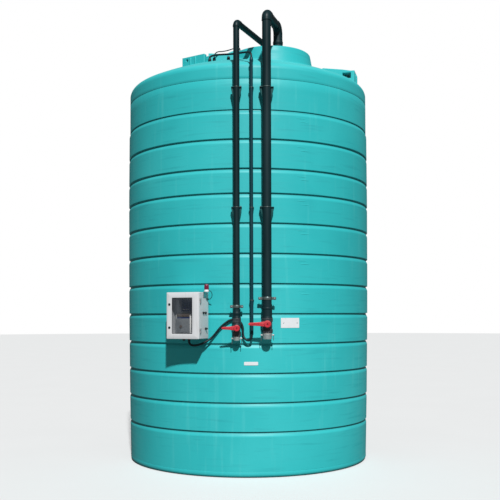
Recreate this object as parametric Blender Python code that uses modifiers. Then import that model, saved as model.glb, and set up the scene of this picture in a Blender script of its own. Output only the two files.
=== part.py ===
"""Vertical storage tank with its fill line, draw-off line and level control box.

Metres, +Z up, the tank's axis on Z and its flat underside at z = 0. The side that
carries the pipes and the control box faces -Y. An azimuth is counted from -Y
towards +X, seen from above.
"""

import math

import bmesh
import bpy
from mathutils import Matrix, Vector

# Driving dimensions of the tank
BASE_RADIUS = 1.363
WALL_FLARE = 0.024
WALL_BULGE = 0.018
WALL_TOP = 4.100
TOP_BAND_RADIUS = 1.3825
WALL_THICKNESS = 0.022
FLOOR_THICKNESS = 0.020
FLOOR_RIM_TOP = 0.060
FLOOR_EDGE_RADIUS = 0.035
GROOVES = (0.457, 0.753, 1.051, 1.351, 1.656, 1.962, 2.270, 2.578, 2.882, 3.135, 3.437, 3.736)
GROOVE_DEPTH = 0.014
GROOVE_RISE = 0.014
GROOVE_FALL = 0.028
ROOF_BOTTOM = 4.060
ROOF_THICKNESS = 0.016
DOME_RADIUS = 3.100
CROWN_HEIGHT = 4.545
SHOULDER_RADIUS = 0.085
TURN_STEPS = 60
GAP = 0.0003

# Raised manway platform on the front slope of the dome
TURRET_X = 0.256
TURRET_Y = -0.600
TURRET_TOP = 4.516
TURRET_RADIUS = 0.440
TURRET_FOOT_RADIUS = 0.462
TURRET_SKIRT_RADIUS = 0.555
TURRET_WALL = 0.014

# Lifting lugs: azimuth in degrees, inner radius, outer radius, height of the outer end, notch depth
LUG_LEFT = (-33.5, 0.760, 1.070, 4.446, 0.040)
LUG_RIGHT = (76.0, 0.870, 1.285, 4.420, 0.085)
LUG_REAR = (196.0, 0.870, 1.285, 4.420, 0.085)
LUG_WIDTH = 0.300
LUG_RUN_OUT = 0.050
LUG_SLOPE = math.radians(8.0)
LUG_POST = 0.042
LUG_NOTCH = 0.095
LUG_BAR = 0.022
BRIDGE_START = (-0.500, -0.928)
BRIDGE_END = (-0.060, -0.860)
BRIDGE_WIDTH = 0.130

# The two pipe lines and the cable conduit in front of the wall
PIPE_Y = -1.465
FILL_X = 0.1895
FILL_RADIUS = 0.045
FILL_ELBOW_RADIUS = 0.049
FILL_CROSSOVER_HEIGHT = 4.6985
FILL_DROP = (0.324, -0.955)
FILL_CROSSOVER_RISE = 0.035
FILL_DROP_BEND = 1.6
DRAW_X = -0.1165
DRAW_RADIUS = 0.0315
DRAW_ELBOW_RADIUS = 0.0345
DRAW_CROSSOVER_HEIGHT = 4.609
DRAW_DROP = (0.198, -0.732)
DRAW_CROSSOVER_RISE = 0.0
DRAW_DROP_BEND = 1.25
CONDUIT_X = 0.035
CONDUIT_Y = -1.450
CONDUIT_RADIUS = 0.016
CONDUIT_BOTTOM = 1.446
CONDUIT_TOP = 4.235

# Clips that hold the pipes to the wall: a saddle behind the pipe that narrows downwards, and a strap
UPPER_CLIP_TOP = 3.953
MIDDLE_CLIP_TOP = 2.734
CLIP_HEIGHT = 0.108
CLIP_LIP = 0.022
CLIP_TAPER = 0.74
CLIP_STRAP = 0.004
FILL_CLAMP_HEIGHT = 1.811
DRAW_CLAMP_HEIGHT = 1.730
CONDUIT_SOCKET_HEIGHT = 1.770

# Valves, couplings and handles
FILL_COUPLING = (1.615, 1.755, 0.049)
DRAW_COUPLING = (1.615, 1.705, 0.039)
FILL_VALVE = (1.465, 1.6147, 0.056)
DRAW_VALVE = (1.430, 1.6147, 0.043)
FILL_HANDLE_HEIGHT = 1.555
DRAW_HANDLE_HEIGHT = 1.515
HANDLE_STANDOFF = 0.086
FILL_LEVER = 0.190
DRAW_LEVER = 0.150
FILL_CAP = (1.400, 1.455, 0.049)
DRAW_CAP = (1.386, 1.422, 0.035)
CAP_WALL = 0.006
ARM_STANDOFF = 0.013
ARM_LENGTH = 0.056
ARM_PIN_RADIUS = 0.003

# Control box on the wall: local x to the right, y into the wall, z up
BOX_AZIMUTH = -24.0
BOX_HEIGHT_CENTRE = 1.641
BOX_WIDTH = 0.365
BOX_HEIGHT = 0.468
BOX_BACK = -0.014
BOX_FRONT = -0.204
BOX_WALL = 0.004
DOOR_BACK = -0.2055
DOOR_FRONT = -0.229
WINDOW_CENTRE = (-0.0075, -0.0025)
WINDOW_SIZE = (0.232, 0.362)
HINGE_X = BOX_WIDTH / 2.0 + 0.009
HINGE_Y = -0.2047
HINGE_HEIGHTS = (0.150, -0.150)
LOCK_X = -0.1505
LOCK_HEIGHTS = (0.112, -0.121)
LOCK_RADIUS = 0.010

# Plates and cables
NAME_PLATE_HEIGHT = 1.5635
ROOF_GLAND = (-0.407, -0.982)
LEVEL_GLAND = (-0.360, -0.957)
SPARE_GLAND = (-0.205, -1.035)
PLATFORM_GLAND = (-0.085, -0.765)
CONTROL_CABLE_DIAMETER = 0.022
ROOF_CABLE_DIAMETER = 0.020
LEVEL_CABLE_DIAMETER = 0.011
BEACON_CABLE_DIAMETER = 0.006
BEACON_RADIUS = 0.0245

COLLECTION_NAME = "storage_tank"
CUTTER_COLLECTION_NAME = "cutters"


def clear_scene():
    for item in list(bpy.data.objects):
        bpy.data.objects.remove(item, do_unlink=True)


def make_collection(name):
    collection = bpy.data.collections.new(name)
    bpy.context.scene.collection.children.link(collection)
    return collection


clear_scene()
PARTS = make_collection(COLLECTION_NAME)
CUTTERS = make_collection(CUTTER_COLLECTION_NAME)


def make_material(name, colour, roughness, metallic=0.0, alpha=1.0):
    material = bpy.data.materials.new(name)
    material.use_nodes = True
    shader = material.node_tree.nodes["Principled BSDF"]
    shader.inputs["Base Color"].default_value = (*colour, 1.0)
    shader.inputs["Roughness"].default_value = roughness
    shader.inputs["Metallic"].default_value = metallic
    shader.inputs["Alpha"].default_value = alpha
    material.diffuse_color = (*colour, alpha)
    return material


TANK_GREEN = make_material("tank_polyethylene", (0.05, 0.50, 0.49), 0.42)
PIPE_BLACK = make_material("pipe_polyethylene", (0.022, 0.030, 0.040), 0.45)
CLIP_BLACK = make_material("clip_plastic", (0.012, 0.014, 0.018), 0.5)
VALVE_BLACK = make_material("valve_plastic", (0.015, 0.017, 0.022), 0.38)
HANDLE_RED = make_material("handle_plastic", (0.75, 0.03, 0.03), 0.35)
ALUMINIUM = make_material("cast_aluminium", (0.66, 0.66, 0.62), 0.38, 1.0)
ZINC_STEEL = make_material("zinc_steel", (0.60, 0.62, 0.62), 0.36, 1.0)
BOX_GREY = make_material("box_grey", (0.74, 0.76, 0.76), 0.45)
WINDOW_GLASS = make_material("window_glass", (0.10, 0.13, 0.15), 0.06, 0.0, 0.35)
DISPLAY_BLUE = make_material("display_blue", (0.02, 0.04, 0.14), 0.2)
DEVICE_GREY = make_material("device_grey", (0.34, 0.37, 0.40), 0.5)
LENS_RED = make_material("lens_red", (0.55, 0.02, 0.05), 0.15)
PLATE_WHITE = make_material("plate_white", (0.86, 0.88, 0.88), 0.4)
CABLE_BLACK = make_material("cable_rubber", (0.012, 0.014, 0.016), 0.55)


def finish(obj, name, material, collection=None, smooth=True):
    """Give a new object its name, material, collection and shading."""
    obj.name = name
    obj.data.name = name
    obj.data.materials.clear()
    obj.data.materials.append(material)
    for owner in list(obj.users_collection):
        owner.objects.unlink(obj)
    (collection or PARTS).objects.link(obj)
    if smooth and obj.type == "MESH":
        obj.data.polygons.foreach_set("use_smooth", [True] * len(obj.data.polygons))
    return obj


def as_cutter(obj):
    """Move an object to the cutters' collection and hide it from renders."""
    for owner in list(obj.users_collection):
        owner.objects.unlink(obj)
    CUTTERS.objects.link(obj)
    obj.hide_render = True
    obj.display_type = "WIRE"
    return obj


def combine(obj, other, operation):
    """Add a Boolean modifier that cuts, joins or intersects obj with other."""
    as_cutter(other)
    modifier = obj.modifiers.new(operation.lower(), "BOOLEAN")
    modifier.operation = operation
    modifier.solver = "EXACT"
    modifier.object = other
    return obj


def cut(obj, other):
    return combine(obj, other, "DIFFERENCE")


def join(obj, other):
    return combine(obj, other, "UNION")


def box(name, size, centre, material, bevel=0.0, parent=None):
    """A rectangular block with its size in the mesh and optional rounded edges."""
    bpy.ops.mesh.primitive_cube_add(size=1.0, location=(0.0, 0.0, 0.0))
    obj = bpy.context.active_object
    obj.data.transform(Matrix.Diagonal((*size, 1.0)))
    obj.location = centre
    obj.parent = parent
    finish(obj, name, material, smooth=False)
    if bevel > 0.0:
        modifier = obj.modifiers.new("rounded", "BEVEL")
        modifier.width = bevel
        modifier.segments = 2
    return obj


def cylinder(name, radius, start, end, material, sides=24, parent=None, end_radius=None):
    """A round bar, or a cone when end_radius is given, from start to end."""
    start = Vector(start)
    end = Vector(end)
    along = end - start
    bpy.ops.mesh.primitive_cone_add(
        vertices=sides,
        radius1=radius,
        radius2=radius if end_radius is None else end_radius,
        depth=along.length,
        location=(0.0, 0.0, 0.0),
    )
    obj = bpy.context.active_object
    obj.rotation_mode = "QUATERNION"
    obj.rotation_quaternion = Vector((0.0, 0.0, 1.0)).rotation_difference(along.normalized())
    obj.location = (start + end) / 2.0
    obj.parent = parent
    return finish(obj, name, material)


def turned(name, outline, material, steps=TURN_STEPS, closed=False, location=(0.0, 0.0, 0.0), parent=None):
    """Turn an outline of (radius, height) pairs about Z. It runs down the outer side."""
    mesh = bpy.data.meshes.new(name)
    build = bmesh.new()
    points = [build.verts.new((radius, 0.0, height)) for radius, height in outline]
    for first, second in zip(points, points[1:]):
        build.edges.new((first, second))
    if closed:
        build.edges.new((points[-1], points[0]))
    build.to_mesh(mesh)
    build.free()
    obj = bpy.data.objects.new(name, mesh)
    bpy.context.scene.collection.objects.link(obj)
    obj.location = location
    obj.parent = parent
    screw = obj.modifiers.new("turned", "SCREW")
    screw.angle = 2.0 * math.pi
    screw.steps = steps
    screw.render_steps = steps
    screw.use_merge_vertices = True
    screw.merge_threshold = 0.0001
    screw.use_smooth_shade = True
    return finish(obj, name, material)


def tube(name, points, radius, material, resolution=2, parent=None):
    """A round tube with closed ends along a chain of points, kept as a mesh."""
    curve = bpy.data.curves.new(name, "CURVE")
    curve.dimensions = "3D"
    curve.bevel_depth = radius
    curve.bevel_resolution = resolution
    curve.use_fill_caps = True
    curve.twist_mode = "MINIMUM"
    spline = curve.splines.new("POLY")
    spline.points.add(len(points) - 1)
    for point, place in zip(spline.points, points):
        point.co = (*place, 1.0)
    source = bpy.data.objects.new(name + "_curve", curve)
    bpy.context.scene.collection.objects.link(source)
    evaluated = source.evaluated_get(bpy.context.evaluated_depsgraph_get())
    mesh = bpy.data.meshes.new_from_object(evaluated)
    bpy.data.objects.remove(source, do_unlink=True)
    build = bmesh.new()
    build.from_mesh(mesh)
    bmesh.ops.remove_doubles(build, verts=build.verts, dist=0.00001)
    bmesh.ops.recalc_face_normals(build, faces=build.faces)
    build.to_mesh(mesh)
    build.free()
    obj = bpy.data.objects.new(name, mesh)
    bpy.context.scene.collection.objects.link(obj)
    obj.parent = parent
    return finish(obj, name, material)


def slab(name, outline, thickness, material, parent=None):
    """A flat outline in the XY plane, extruded evenly to both sides of it."""
    curve = bpy.data.curves.new(name, "CURVE")
    curve.dimensions = "2D"
    curve.fill_mode = "BOTH"
    curve.extrude = thickness / 2.0
    spline = curve.splines.new("POLY")
    spline.points.add(len(outline) - 1)
    for point, (across, up) in zip(spline.points, outline):
        point.co = (across, up, 0.0, 1.0)
    spline.use_cyclic_u = True
    source = bpy.data.objects.new(name + "_curve", curve)
    bpy.context.scene.collection.objects.link(source)
    evaluated = source.evaluated_get(bpy.context.evaluated_depsgraph_get())
    mesh = bpy.data.meshes.new_from_object(evaluated)
    bpy.data.objects.remove(source, do_unlink=True)
    build = bmesh.new()
    build.from_mesh(mesh)
    bmesh.ops.remove_doubles(build, verts=build.verts, dist=0.00001)
    bmesh.ops.recalc_face_normals(build, faces=build.faces)
    build.to_mesh(mesh)
    build.free()
    obj = bpy.data.objects.new(name, mesh)
    bpy.context.scene.collection.objects.link(obj)
    obj.parent = parent
    return finish(obj, name, material, smooth=False)


def smooth_route(points, per_span):
    """Points of a Catmull-Rom curve through the given points."""
    places = [Vector(point) for point in points]
    padded = [2.0 * places[0] - places[1]] + places + [2.0 * places[-1] - places[-2]]
    route = []
    for index in range(len(places) - 1):
        before, start, end, after = padded[index:index + 4]
        for step in range(per_span):
            t = step / per_span
            route.append(0.5 * (
                2.0 * start
                + (end - before) * t
                + (2.0 * before - 5.0 * start + 4.0 * end - after) * t ** 2
                + (3.0 * start - before - 3.0 * end + after) * t ** 3
            ))
    route.append(places[-1])
    return route


def cable(name, places, diameter, per_span):
    """A round cable that leaves its first and last seat dead straight."""
    route = [Vector(places[0])] + smooth_route(places[1:-1], per_span) + [Vector(places[-1])]
    return tube(name, route, diameter / 2.0, CABLE_BLACK)


def polar(azimuth, radius, height=0.0):
    """A point at an azimuth in degrees, a radius and a height."""
    angle = math.radians(azimuth)
    return Vector((radius * math.sin(angle), -radius * math.cos(angle), height))


def wall_radius(height):
    """Radius of the bands: the wall widens a little upwards and bulges at mid height."""
    if height > GROOVES[-1]:
        return TOP_BAND_RADIUS
    share = height / WALL_TOP
    return BASE_RADIUS + WALL_FLARE * share + 4.0 * WALL_BULGE * share * (1.0 - share)


def wall_front(x, height):
    """The wall's -Y face at x, on the flat facet that spans it."""
    radius = wall_radius(height)
    step = 2.0 * math.pi / TURN_STEPS
    index = math.floor(math.asin(x / radius) / step)
    low = Vector((math.sin(index * step), -math.cos(index * step))) * radius
    high = Vector((math.sin((index + 1) * step), -math.cos((index + 1) * step))) * radius
    return low.y + (high.y - low.y) * (x - low.x) / (high.x - low.x)


def wall_outline(offset=0.0, bottom=FLOOR_RIM_TOP + GAP, top=ROOF_BOTTOM - GAP):
    """The wall's outer side from top to bottom, with a groove between bands."""
    outline = [(TOP_BAND_RADIUS + offset, top)]
    for height in reversed(GROOVES):
        above = height + GROOVE_RISE
        below = height - GROOVE_FALL
        outline.append((wall_radius(above) + offset, above))
        outline.append((wall_radius(height) - GROOVE_DEPTH + offset, height))
        outline.append((wall_radius(below) + offset, below))
    outline.append((wall_radius(bottom) + offset, bottom))
    return outline


def make_tank_wall():
    """The ringed wall: a closed outline, down the bands and up the plain inner side."""
    outline = wall_outline()
    bottom = FLOOR_RIM_TOP + GAP
    top = ROOF_BOTTOM - GAP
    count = 2
    for index in range(count + 1):
        height = bottom + (top - bottom) * index / count
        outline.append((wall_radius(height) - WALL_THICKNESS, height))
    return turned("tank_wall", outline, TANK_GREEN, closed=True)


def make_tank_floor():
    """The moulded floor with its rounded bottom edge and an upstand under the wall."""
    rim = wall_radius(FLOOR_RIM_TOP)
    inner = rim - WALL_THICKNESS
    outline = [(0.0, FLOOR_THICKNESS), (inner - FLOOR_THICKNESS, FLOOR_THICKNESS)]
    outline += [(inner, 2.0 * FLOOR_THICKNESS), (inner, FLOOR_RIM_TOP), (rim, FLOOR_RIM_TOP)]
    corners = 4
    for index in range(corners + 1):
        angle = math.pi / 2.0 * index / corners
        outline.append((
            rim - FLOOR_EDGE_RADIUS + FLOOR_EDGE_RADIUS * math.cos(angle),
            FLOOR_EDGE_RADIUS - FLOOR_EDGE_RADIUS * math.sin(angle),
        ))
    outline.append((0.0, 0.0))
    return turned("tank_floor", outline, TANK_GREEN)


def roof_outline(offset, dome_steps=7, corner_steps=4):
    """Dome and shoulder rounding, moved outwards by offset."""
    dome = DOME_RADIUS + offset
    corner = SHOULDER_RADIUS + offset
    centre_height = CROWN_HEIGHT - DOME_RADIUS
    corner_radius = TOP_BAND_RADIUS - SHOULDER_RADIUS
    corner_height = centre_height + math.sqrt((DOME_RADIUS - SHOULDER_RADIUS) ** 2 - corner_radius ** 2)
    meet = math.atan2(corner_radius, corner_height - centre_height)
    outline = []
    for index in range(dome_steps + 1):
        angle = meet * index / dome_steps
        outline.append((dome * math.sin(angle), centre_height + dome * math.cos(angle)))
    for index in range(1, corner_steps + 1):
        angle = meet + (math.pi / 2.0 - meet) * index / corner_steps
        outline.append((corner_radius + corner * math.sin(angle), corner_height + corner * math.cos(angle)))
    return outline


def make_tank_roof():
    """The domed roof shell with its rounded shoulder."""
    outer = roof_outline(0.0)
    inner = roof_outline(-ROOF_THICKNESS, dome_steps=4, corner_steps=2)
    outline = outer + [(TOP_BAND_RADIUS, ROOF_BOTTOM)]
    outline += [(TOP_BAND_RADIUS - ROOF_THICKNESS, ROOF_BOTTOM)] + list(reversed(inner))
    return turned("tank_roof", outline, TANK_GREEN)


def roof_cutter(name):
    """A solid under the roof's outer skin, a gap's width larger than it."""
    below = ROOF_BOTTOM - 0.5
    outline = roof_outline(GAP) + [(TOP_BAND_RADIUS + GAP, below), (0.0, below)]
    return turned(name, outline, TANK_GREEN)


def dome_height(x, y):
    return CROWN_HEIGHT - DOME_RADIUS + math.sqrt(DOME_RADIUS ** 2 - x * x - y * y)


def make_bridge():
    """The low moulded bridge that runs from the platform to the left lug."""
    start = Vector((*BRIDGE_START, 0.0))
    end = Vector((*BRIDGE_END, 0.0))
    long = (end - start).length
    low = ROOF_BOTTOM + 0.05
    shelf = TURRET_TOP - 0.046
    outline = [
        (0.0, low), (long, low), (long, TURRET_TOP - 0.004), (long - 0.080, TURRET_TOP - 0.004),
        (long - 0.200, shelf), (0.0, shelf),
    ]
    bridge = slab("turret_bridge", outline, BRIDGE_WIDTH, TANK_GREEN)
    heading = math.atan2(end.y - start.y, end.x - start.x)
    upright = Matrix.Translation((0.0, BRIDGE_WIDTH / 2.0, 0.0)) @ Matrix.Rotation(math.pi / 2.0, 4, "X")
    bridge.data.transform(Matrix.Translation(start) @ Matrix.Rotation(heading, 4, "Z") @ upright)
    return bridge


def make_turret():
    """The raised level platform that takes the pipes, hollow, with a flared foot."""
    low = ROOF_BOTTOM
    edge = 0.012
    spare = 0.001
    outline = [
        (0.0, TURRET_TOP + spare), (TURRET_RADIUS - edge, TURRET_TOP + spare),
        (TURRET_RADIUS - edge * 0.3, TURRET_TOP - edge * 0.3), (TURRET_RADIUS, TURRET_TOP - edge),
        (TURRET_FOOT_RADIUS, TURRET_TOP - 0.14), (TURRET_FOOT_RADIUS, low), (0.0, low),
    ]
    place = (TURRET_X, TURRET_Y, 0.0)
    turret = turned("roof_turret", outline, TANK_GREEN, steps=40, location=place)
    lean = math.asin(math.hypot(TURRET_X, TURRET_Y) / DOME_RADIUS)
    normal = Vector((TURRET_X, TURRET_Y, 0.0)).normalized() * math.sin(lean)
    normal.z = math.cos(lean)
    seat = Vector((TURRET_X, TURRET_Y, dome_height(TURRET_X, TURRET_Y)))
    skirt = cylinder(
        "turret_skirt", TURRET_SKIRT_RADIUS, seat - 0.055 * normal, seat + 0.022 * normal,
        TANK_GREEN, sides=40, end_radius=TURRET_FOOT_RADIUS - 0.004,
    )
    join(turret, skirt)
    join(turret, make_bridge())
    lug_centre = polar(LUG_LEFT[0], LUG_LEFT[2] - 0.20, TURRET_TOP)
    lug_space = box("bridge_end", (LUG_WIDTH + 2.0 * GAP, 0.52, 1.0), lug_centre, TANK_GREEN)
    lug_space.data.transform(Matrix.Rotation(math.radians(LUG_LEFT[0]), 4, "Z"))
    cut(turret, lug_space)
    cut(turret, box(
        "turret_level", (3.0, 3.0, 0.5), (TURRET_X, TURRET_Y, TURRET_TOP + 0.25), TANK_GREEN,
    ))
    inside = [
        (0.0, TURRET_TOP - TURRET_WALL), (TURRET_RADIUS - 2.0 * TURRET_WALL, TURRET_TOP - TURRET_WALL),
        (TURRET_FOOT_RADIUS - TURRET_WALL, TURRET_TOP - 0.14), (TURRET_FOOT_RADIUS - TURRET_WALL, low - 0.05),
        (0.0, low - 0.05),
    ]
    cut(turret, turned("turret_inside", inside, TANK_GREEN, steps=40, location=place))
    cut(turret, roof_cutter("turret_seat"))
    return turret


def make_lug(name, azimuth, inner_radius, end_radius, end_height, notch_depth, closed):
    """A moulded lifting block with a sling notch, or a closed eye, behind its end post."""
    notch_end = end_radius - LUG_POST
    notch_start = notch_end - LUG_NOTCH
    floor = end_height - notch_depth
    shelf = inner_radius + LUG_RUN_OUT
    rise = math.tan(LUG_SLOPE)
    low = ROOF_BOTTOM + 0.03
    notch = [] if closed else [(notch_end, floor), (notch_start, floor + LUG_NOTCH * rise)]
    outline = [
        (inner_radius, low), (end_radius, low), (end_radius, end_height - 0.01),
        (end_radius - 0.01, end_height), (notch_end, end_height), *notch,
        (notch_start, end_height + (end_radius - notch_start) * rise),
        (shelf, end_height + (end_radius - shelf) * rise),
        (inner_radius, dome_height(inner_radius, 0.0) - 0.010),
    ]
    lug = slab(name, outline, LUG_WIDTH, TANK_GREEN)
    upright = Matrix.Rotation(math.pi / 2.0, 4, "X")
    turn = Matrix.Rotation(math.radians(azimuth - 90.0), 4, "Z")
    lug.data.transform(turn @ upright)
    rib_radius = 0.011
    for index, side in enumerate((-0.035, 0.030)):
        foot = turn @ Vector((end_radius, side, low + 0.02))
        head = turn @ Vector((end_radius, side, end_height - 0.012))
        join(lug, cylinder(f"{name}_rib_{index}", rib_radius, foot, head, TANK_GREEN, sides=12))
    start = turn @ Vector((end_radius - 0.02, -0.080, end_height - 0.034))
    end = turn @ Vector((end_radius + 0.02, -0.080, end_height - 0.034))
    cut(lug, cylinder(name + "_eye", 0.014, start, end, TANK_GREEN, sides=16))
    if closed:
        hole_top = end_height - LUG_BAR
        centre = turn @ Vector(((notch_start + notch_end) / 2.0, 0.0, (hole_top + floor) / 2.0))
        hole = box(name + "_hole", (LUG_NOTCH, LUG_WIDTH + 0.04, hole_top - floor), centre, TANK_GREEN)
        hole.data.transform(turn)
        cut(lug, hole)
    cut(lug, roof_cutter(name + "_seat"))
    return lug


def bend(corner, before, after, radius, steps=6):
    """Points of a round bend at a corner between two directions."""
    before = Vector(before).normalized()
    after = Vector(after).normalized()
    corner = Vector(corner)
    half = (math.pi - before.angle(-after)) / 2.0
    reach = radius * math.tan(half)
    start = corner - before * reach
    centre = start + (after - before * before.dot(after)).normalized() * radius
    points = []
    for index in range(steps + 1):
        angle = 2.0 * half * index / steps
        points.append(centre + (start - centre) * math.cos(angle) + before * radius * math.sin(angle))
    return points


def make_pipe_line(prefix, x, pipe_radius, elbow_radius, height, drop, rise, drop_bend, bottom, elbow_bottom):
    """Riser, top elbow, crossover, drop elbow and the collar on the platform."""
    top = Vector((x, PIPE_Y, height))
    end = Vector((drop[0], drop[1], height + rise))
    across = (end - top).normalized()
    up = Vector((0.0, 0.0, 1.0))
    turn = elbow_radius * 1.25
    leg = turn + 0.030
    drop_turn = elbow_radius * drop_bend
    drop_leg = drop_turn + 0.030
    foot = Vector((x, PIPE_Y, bottom - 0.010))
    socket = Vector((x, PIPE_Y, elbow_bottom))
    riser = cylinder(prefix + "_riser", pipe_radius, foot, socket - up * GAP, PIPE_BLACK, sides=24)
    first = [socket] + bend(top, up, across, turn) + [top + across * leg]
    second = [end - across * drop_leg] + bend(end, across, -up, drop_turn)
    collar_top = min(TURRET_TOP + 0.070, end.z - drop_turn - 0.010)
    second.append(Vector((end.x, end.y, collar_top)))
    crossover = tube(prefix + "_crossover", first, elbow_radius, PIPE_BLACK, resolution=4)
    overlap = 0.017
    join(crossover, cylinder(
        prefix + "_level_pipe", pipe_radius, top + across * (leg - overlap), end - across * (drop_leg - overlap),
        PIPE_BLACK, sides=22,
    ))
    join(crossover, tube(prefix + "_drop_elbow", second, elbow_radius, PIPE_BLACK, resolution=4))
    rim = elbow_radius * 1.10
    base = TURRET_TOP + GAP
    tall = collar_top - GAP - base
    outline = [
        (0.0, base + tall), (elbow_radius, base + tall), (rim, base + tall * 0.84),
        (rim, base + tall * 0.48), (elbow_radius * 0.98, base + tall * 0.36), (rim * 1.04, base + tall * 0.18),
        (rim * 1.04, base), (0.0, base),
    ]
    turned(prefix + "_inlet_collar", outline, PIPE_BLACK, steps=24, location=(end.x, end.y, 0.0))
    return riser


def make_clip(name, x, y, height, pipe_radius, ear, tall, band, material):
    """A band round a pipe with two bolted ears and a foot that reaches the wall."""
    outer = pipe_radius + band
    clip = cylinder(name, outer, (x, y, height - tall / 2.0), (x, y, height + tall / 2.0), material, sides=20)
    seat = min(wall_front(x - 0.018, height), wall_front(x + 0.018, height)) - GAP
    foot = box(name + "_foot", (0.036, seat - y, tall * 0.8), (x, (seat + y) / 2.0, height), material)
    ears = box(name + "_ears", (2.0 * ear, 0.022, tall * 0.62), (x, y + 0.004, height), material, bevel=0.003)
    join(clip, foot)
    join(clip, ears)
    bore = cylinder(
        name + "_bore", pipe_radius + GAP, (x, y, height - tall), (x, y, height + tall), material, sides=24,
    )
    cut(clip, bore)
    return clip


def make_saddle_clip(name, x, y, top, tall, pipe_radius, ear):
    """A tapered saddle behind the pipe, a thin strap round its top end and a foot on the wall."""
    bottom = top - tall
    outline = [
        (-ear, top), (-ear, top - CLIP_LIP), (-ear * CLIP_TAPER, bottom), (ear * CLIP_TAPER, bottom),
        (ear, top - CLIP_LIP), (ear, top),
    ]
    front = y - 0.006
    back = y + pipe_radius + 0.010
    clip = slab(name, outline, back - front, CLIP_BLACK)
    upright = Matrix.Rotation(math.pi / 2.0, 4, "X")
    clip.data.transform(Matrix.Translation((x, (front + back) / 2.0, 0.0)) @ upright)
    strap = pipe_radius + CLIP_STRAP
    join(clip, cylinder(name + "_strap", strap, (x, y, top - CLIP_LIP), (x, y, top - 0.001), CLIP_BLACK, sides=20))
    seat = min(
        wall_front(x + side, height) for side in (-0.018, 0.018) for height in (bottom + 0.010, top - 0.010)
    ) - GAP
    foot_size = (0.036, seat - back + 0.004, tall - 0.020)
    foot_centre = (x, (seat + back - 0.004) / 2.0, (top + bottom) / 2.0)
    join(clip, box(name + "_foot", foot_size, foot_centre, CLIP_BLACK))
    low = (x, y, bottom - 0.010)
    cut(clip, cylinder(name + "_bore", pipe_radius + GAP, low, (x, y, top + 0.010), CLIP_BLACK, sides=24))
    return clip


def make_clips():
    """The black clips on the three pipes and the two zinc clamps over the valves."""
    lines = (
        ("fill", FILL_X, PIPE_Y, FILL_RADIUS, 0.072, CLIP_HEIGHT),
        ("draw", DRAW_X, PIPE_Y, DRAW_RADIUS, 0.053, CLIP_HEIGHT),
        ("conduit", CONDUIT_X, CONDUIT_Y, CONDUIT_RADIUS, 0.024, CLIP_HEIGHT * 0.56),
    )
    for level, top in (("upper", UPPER_CLIP_TOP), ("middle", MIDDLE_CLIP_TOP)):
        for label, x, y, radius, ear, tall in lines:
            make_saddle_clip(f"{label}_clip_{level}", x, y, top, tall, radius, ear)
    make_clip(
        "conduit_clip_lower", CONDUIT_X, CONDUIT_Y, CONDUIT_SOCKET_HEIGHT, CONDUIT_RADIUS,
        0.022, 0.060, 0.005, CLIP_BLACK,
    )
    clamps = (
        ("fill", FILL_X, FILL_RADIUS, FILL_CLAMP_HEIGHT, 0.088, 0.075),
        ("draw", DRAW_X, DRAW_RADIUS, DRAW_CLAMP_HEIGHT, 0.064, 0.053),
    )
    for label, x, radius, height, ear, bolt in clamps:
        clamp = make_clip(label + "_clamp", x, PIPE_Y, height, radius, ear, 0.030, 0.004, ZINC_STEEL)
        for side in (-1.0, 1.0):
            start = (x + side * bolt, PIPE_Y - 0.030, height)
            end = (x + side * bolt, PIPE_Y + 0.030, height)
            join(clamp, cylinder(f"{label}_bolt_{side:.0f}", 0.007, start, end, ZINC_STEEL, sides=6))


def add_coupling(riser, label, x, low, high, radius):
    """The fused coupling at the foot of a riser, down to the valve."""
    rim = radius * 1.07
    outline = [
        (0.0, high), (radius, high), (radius, high - 0.035), (rim, high - 0.040),
        (rim, high - 0.052), (radius, high - 0.057), (radius, low + 0.012), (rim, low + 0.008),
        (rim, low), (0.0, low),
    ]
    join(riser, turned(label + "_coupling", outline, PIPE_BLACK, steps=24, location=(x, PIPE_Y, 0.0)))


def make_valve(name, x, span, handle_height):
    """A ball valve body with two ribbed union nuts and a stem towards the front."""
    low, high, radius = span
    nut = (high - low) * 0.26
    waist = radius * 0.90
    outline = [
        (0.0, high), (radius * 0.92, high), (radius, high - 0.006), (radius, high - nut),
        (waist, high - nut - 0.004), (waist, low + nut + 0.004), (radius, low + nut),
        (radius, low + 0.006), (radius * 0.92, low), (0.0, low),
    ]
    body = turned(name, outline, VALVE_BLACK, steps=24, location=(x, PIPE_Y, 0.0))
    stem_radius = 0.018
    front = PIPE_Y - HANDLE_STANDOFF + 0.016
    neck = cylinder(
        name + "_neck", stem_radius * 1.3, (x, PIPE_Y, handle_height), (x, front + 0.010, handle_height),
        VALVE_BLACK, sides=20,
    )
    join(body, neck)
    pin = cylinder(
        name + "_stem", 0.006, (x, PIPE_Y, handle_height), (x, PIPE_Y - HANDLE_STANDOFF - 0.004, handle_height),
        VALVE_BLACK, sides=16,
    )
    join(body, pin)
    return body


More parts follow.
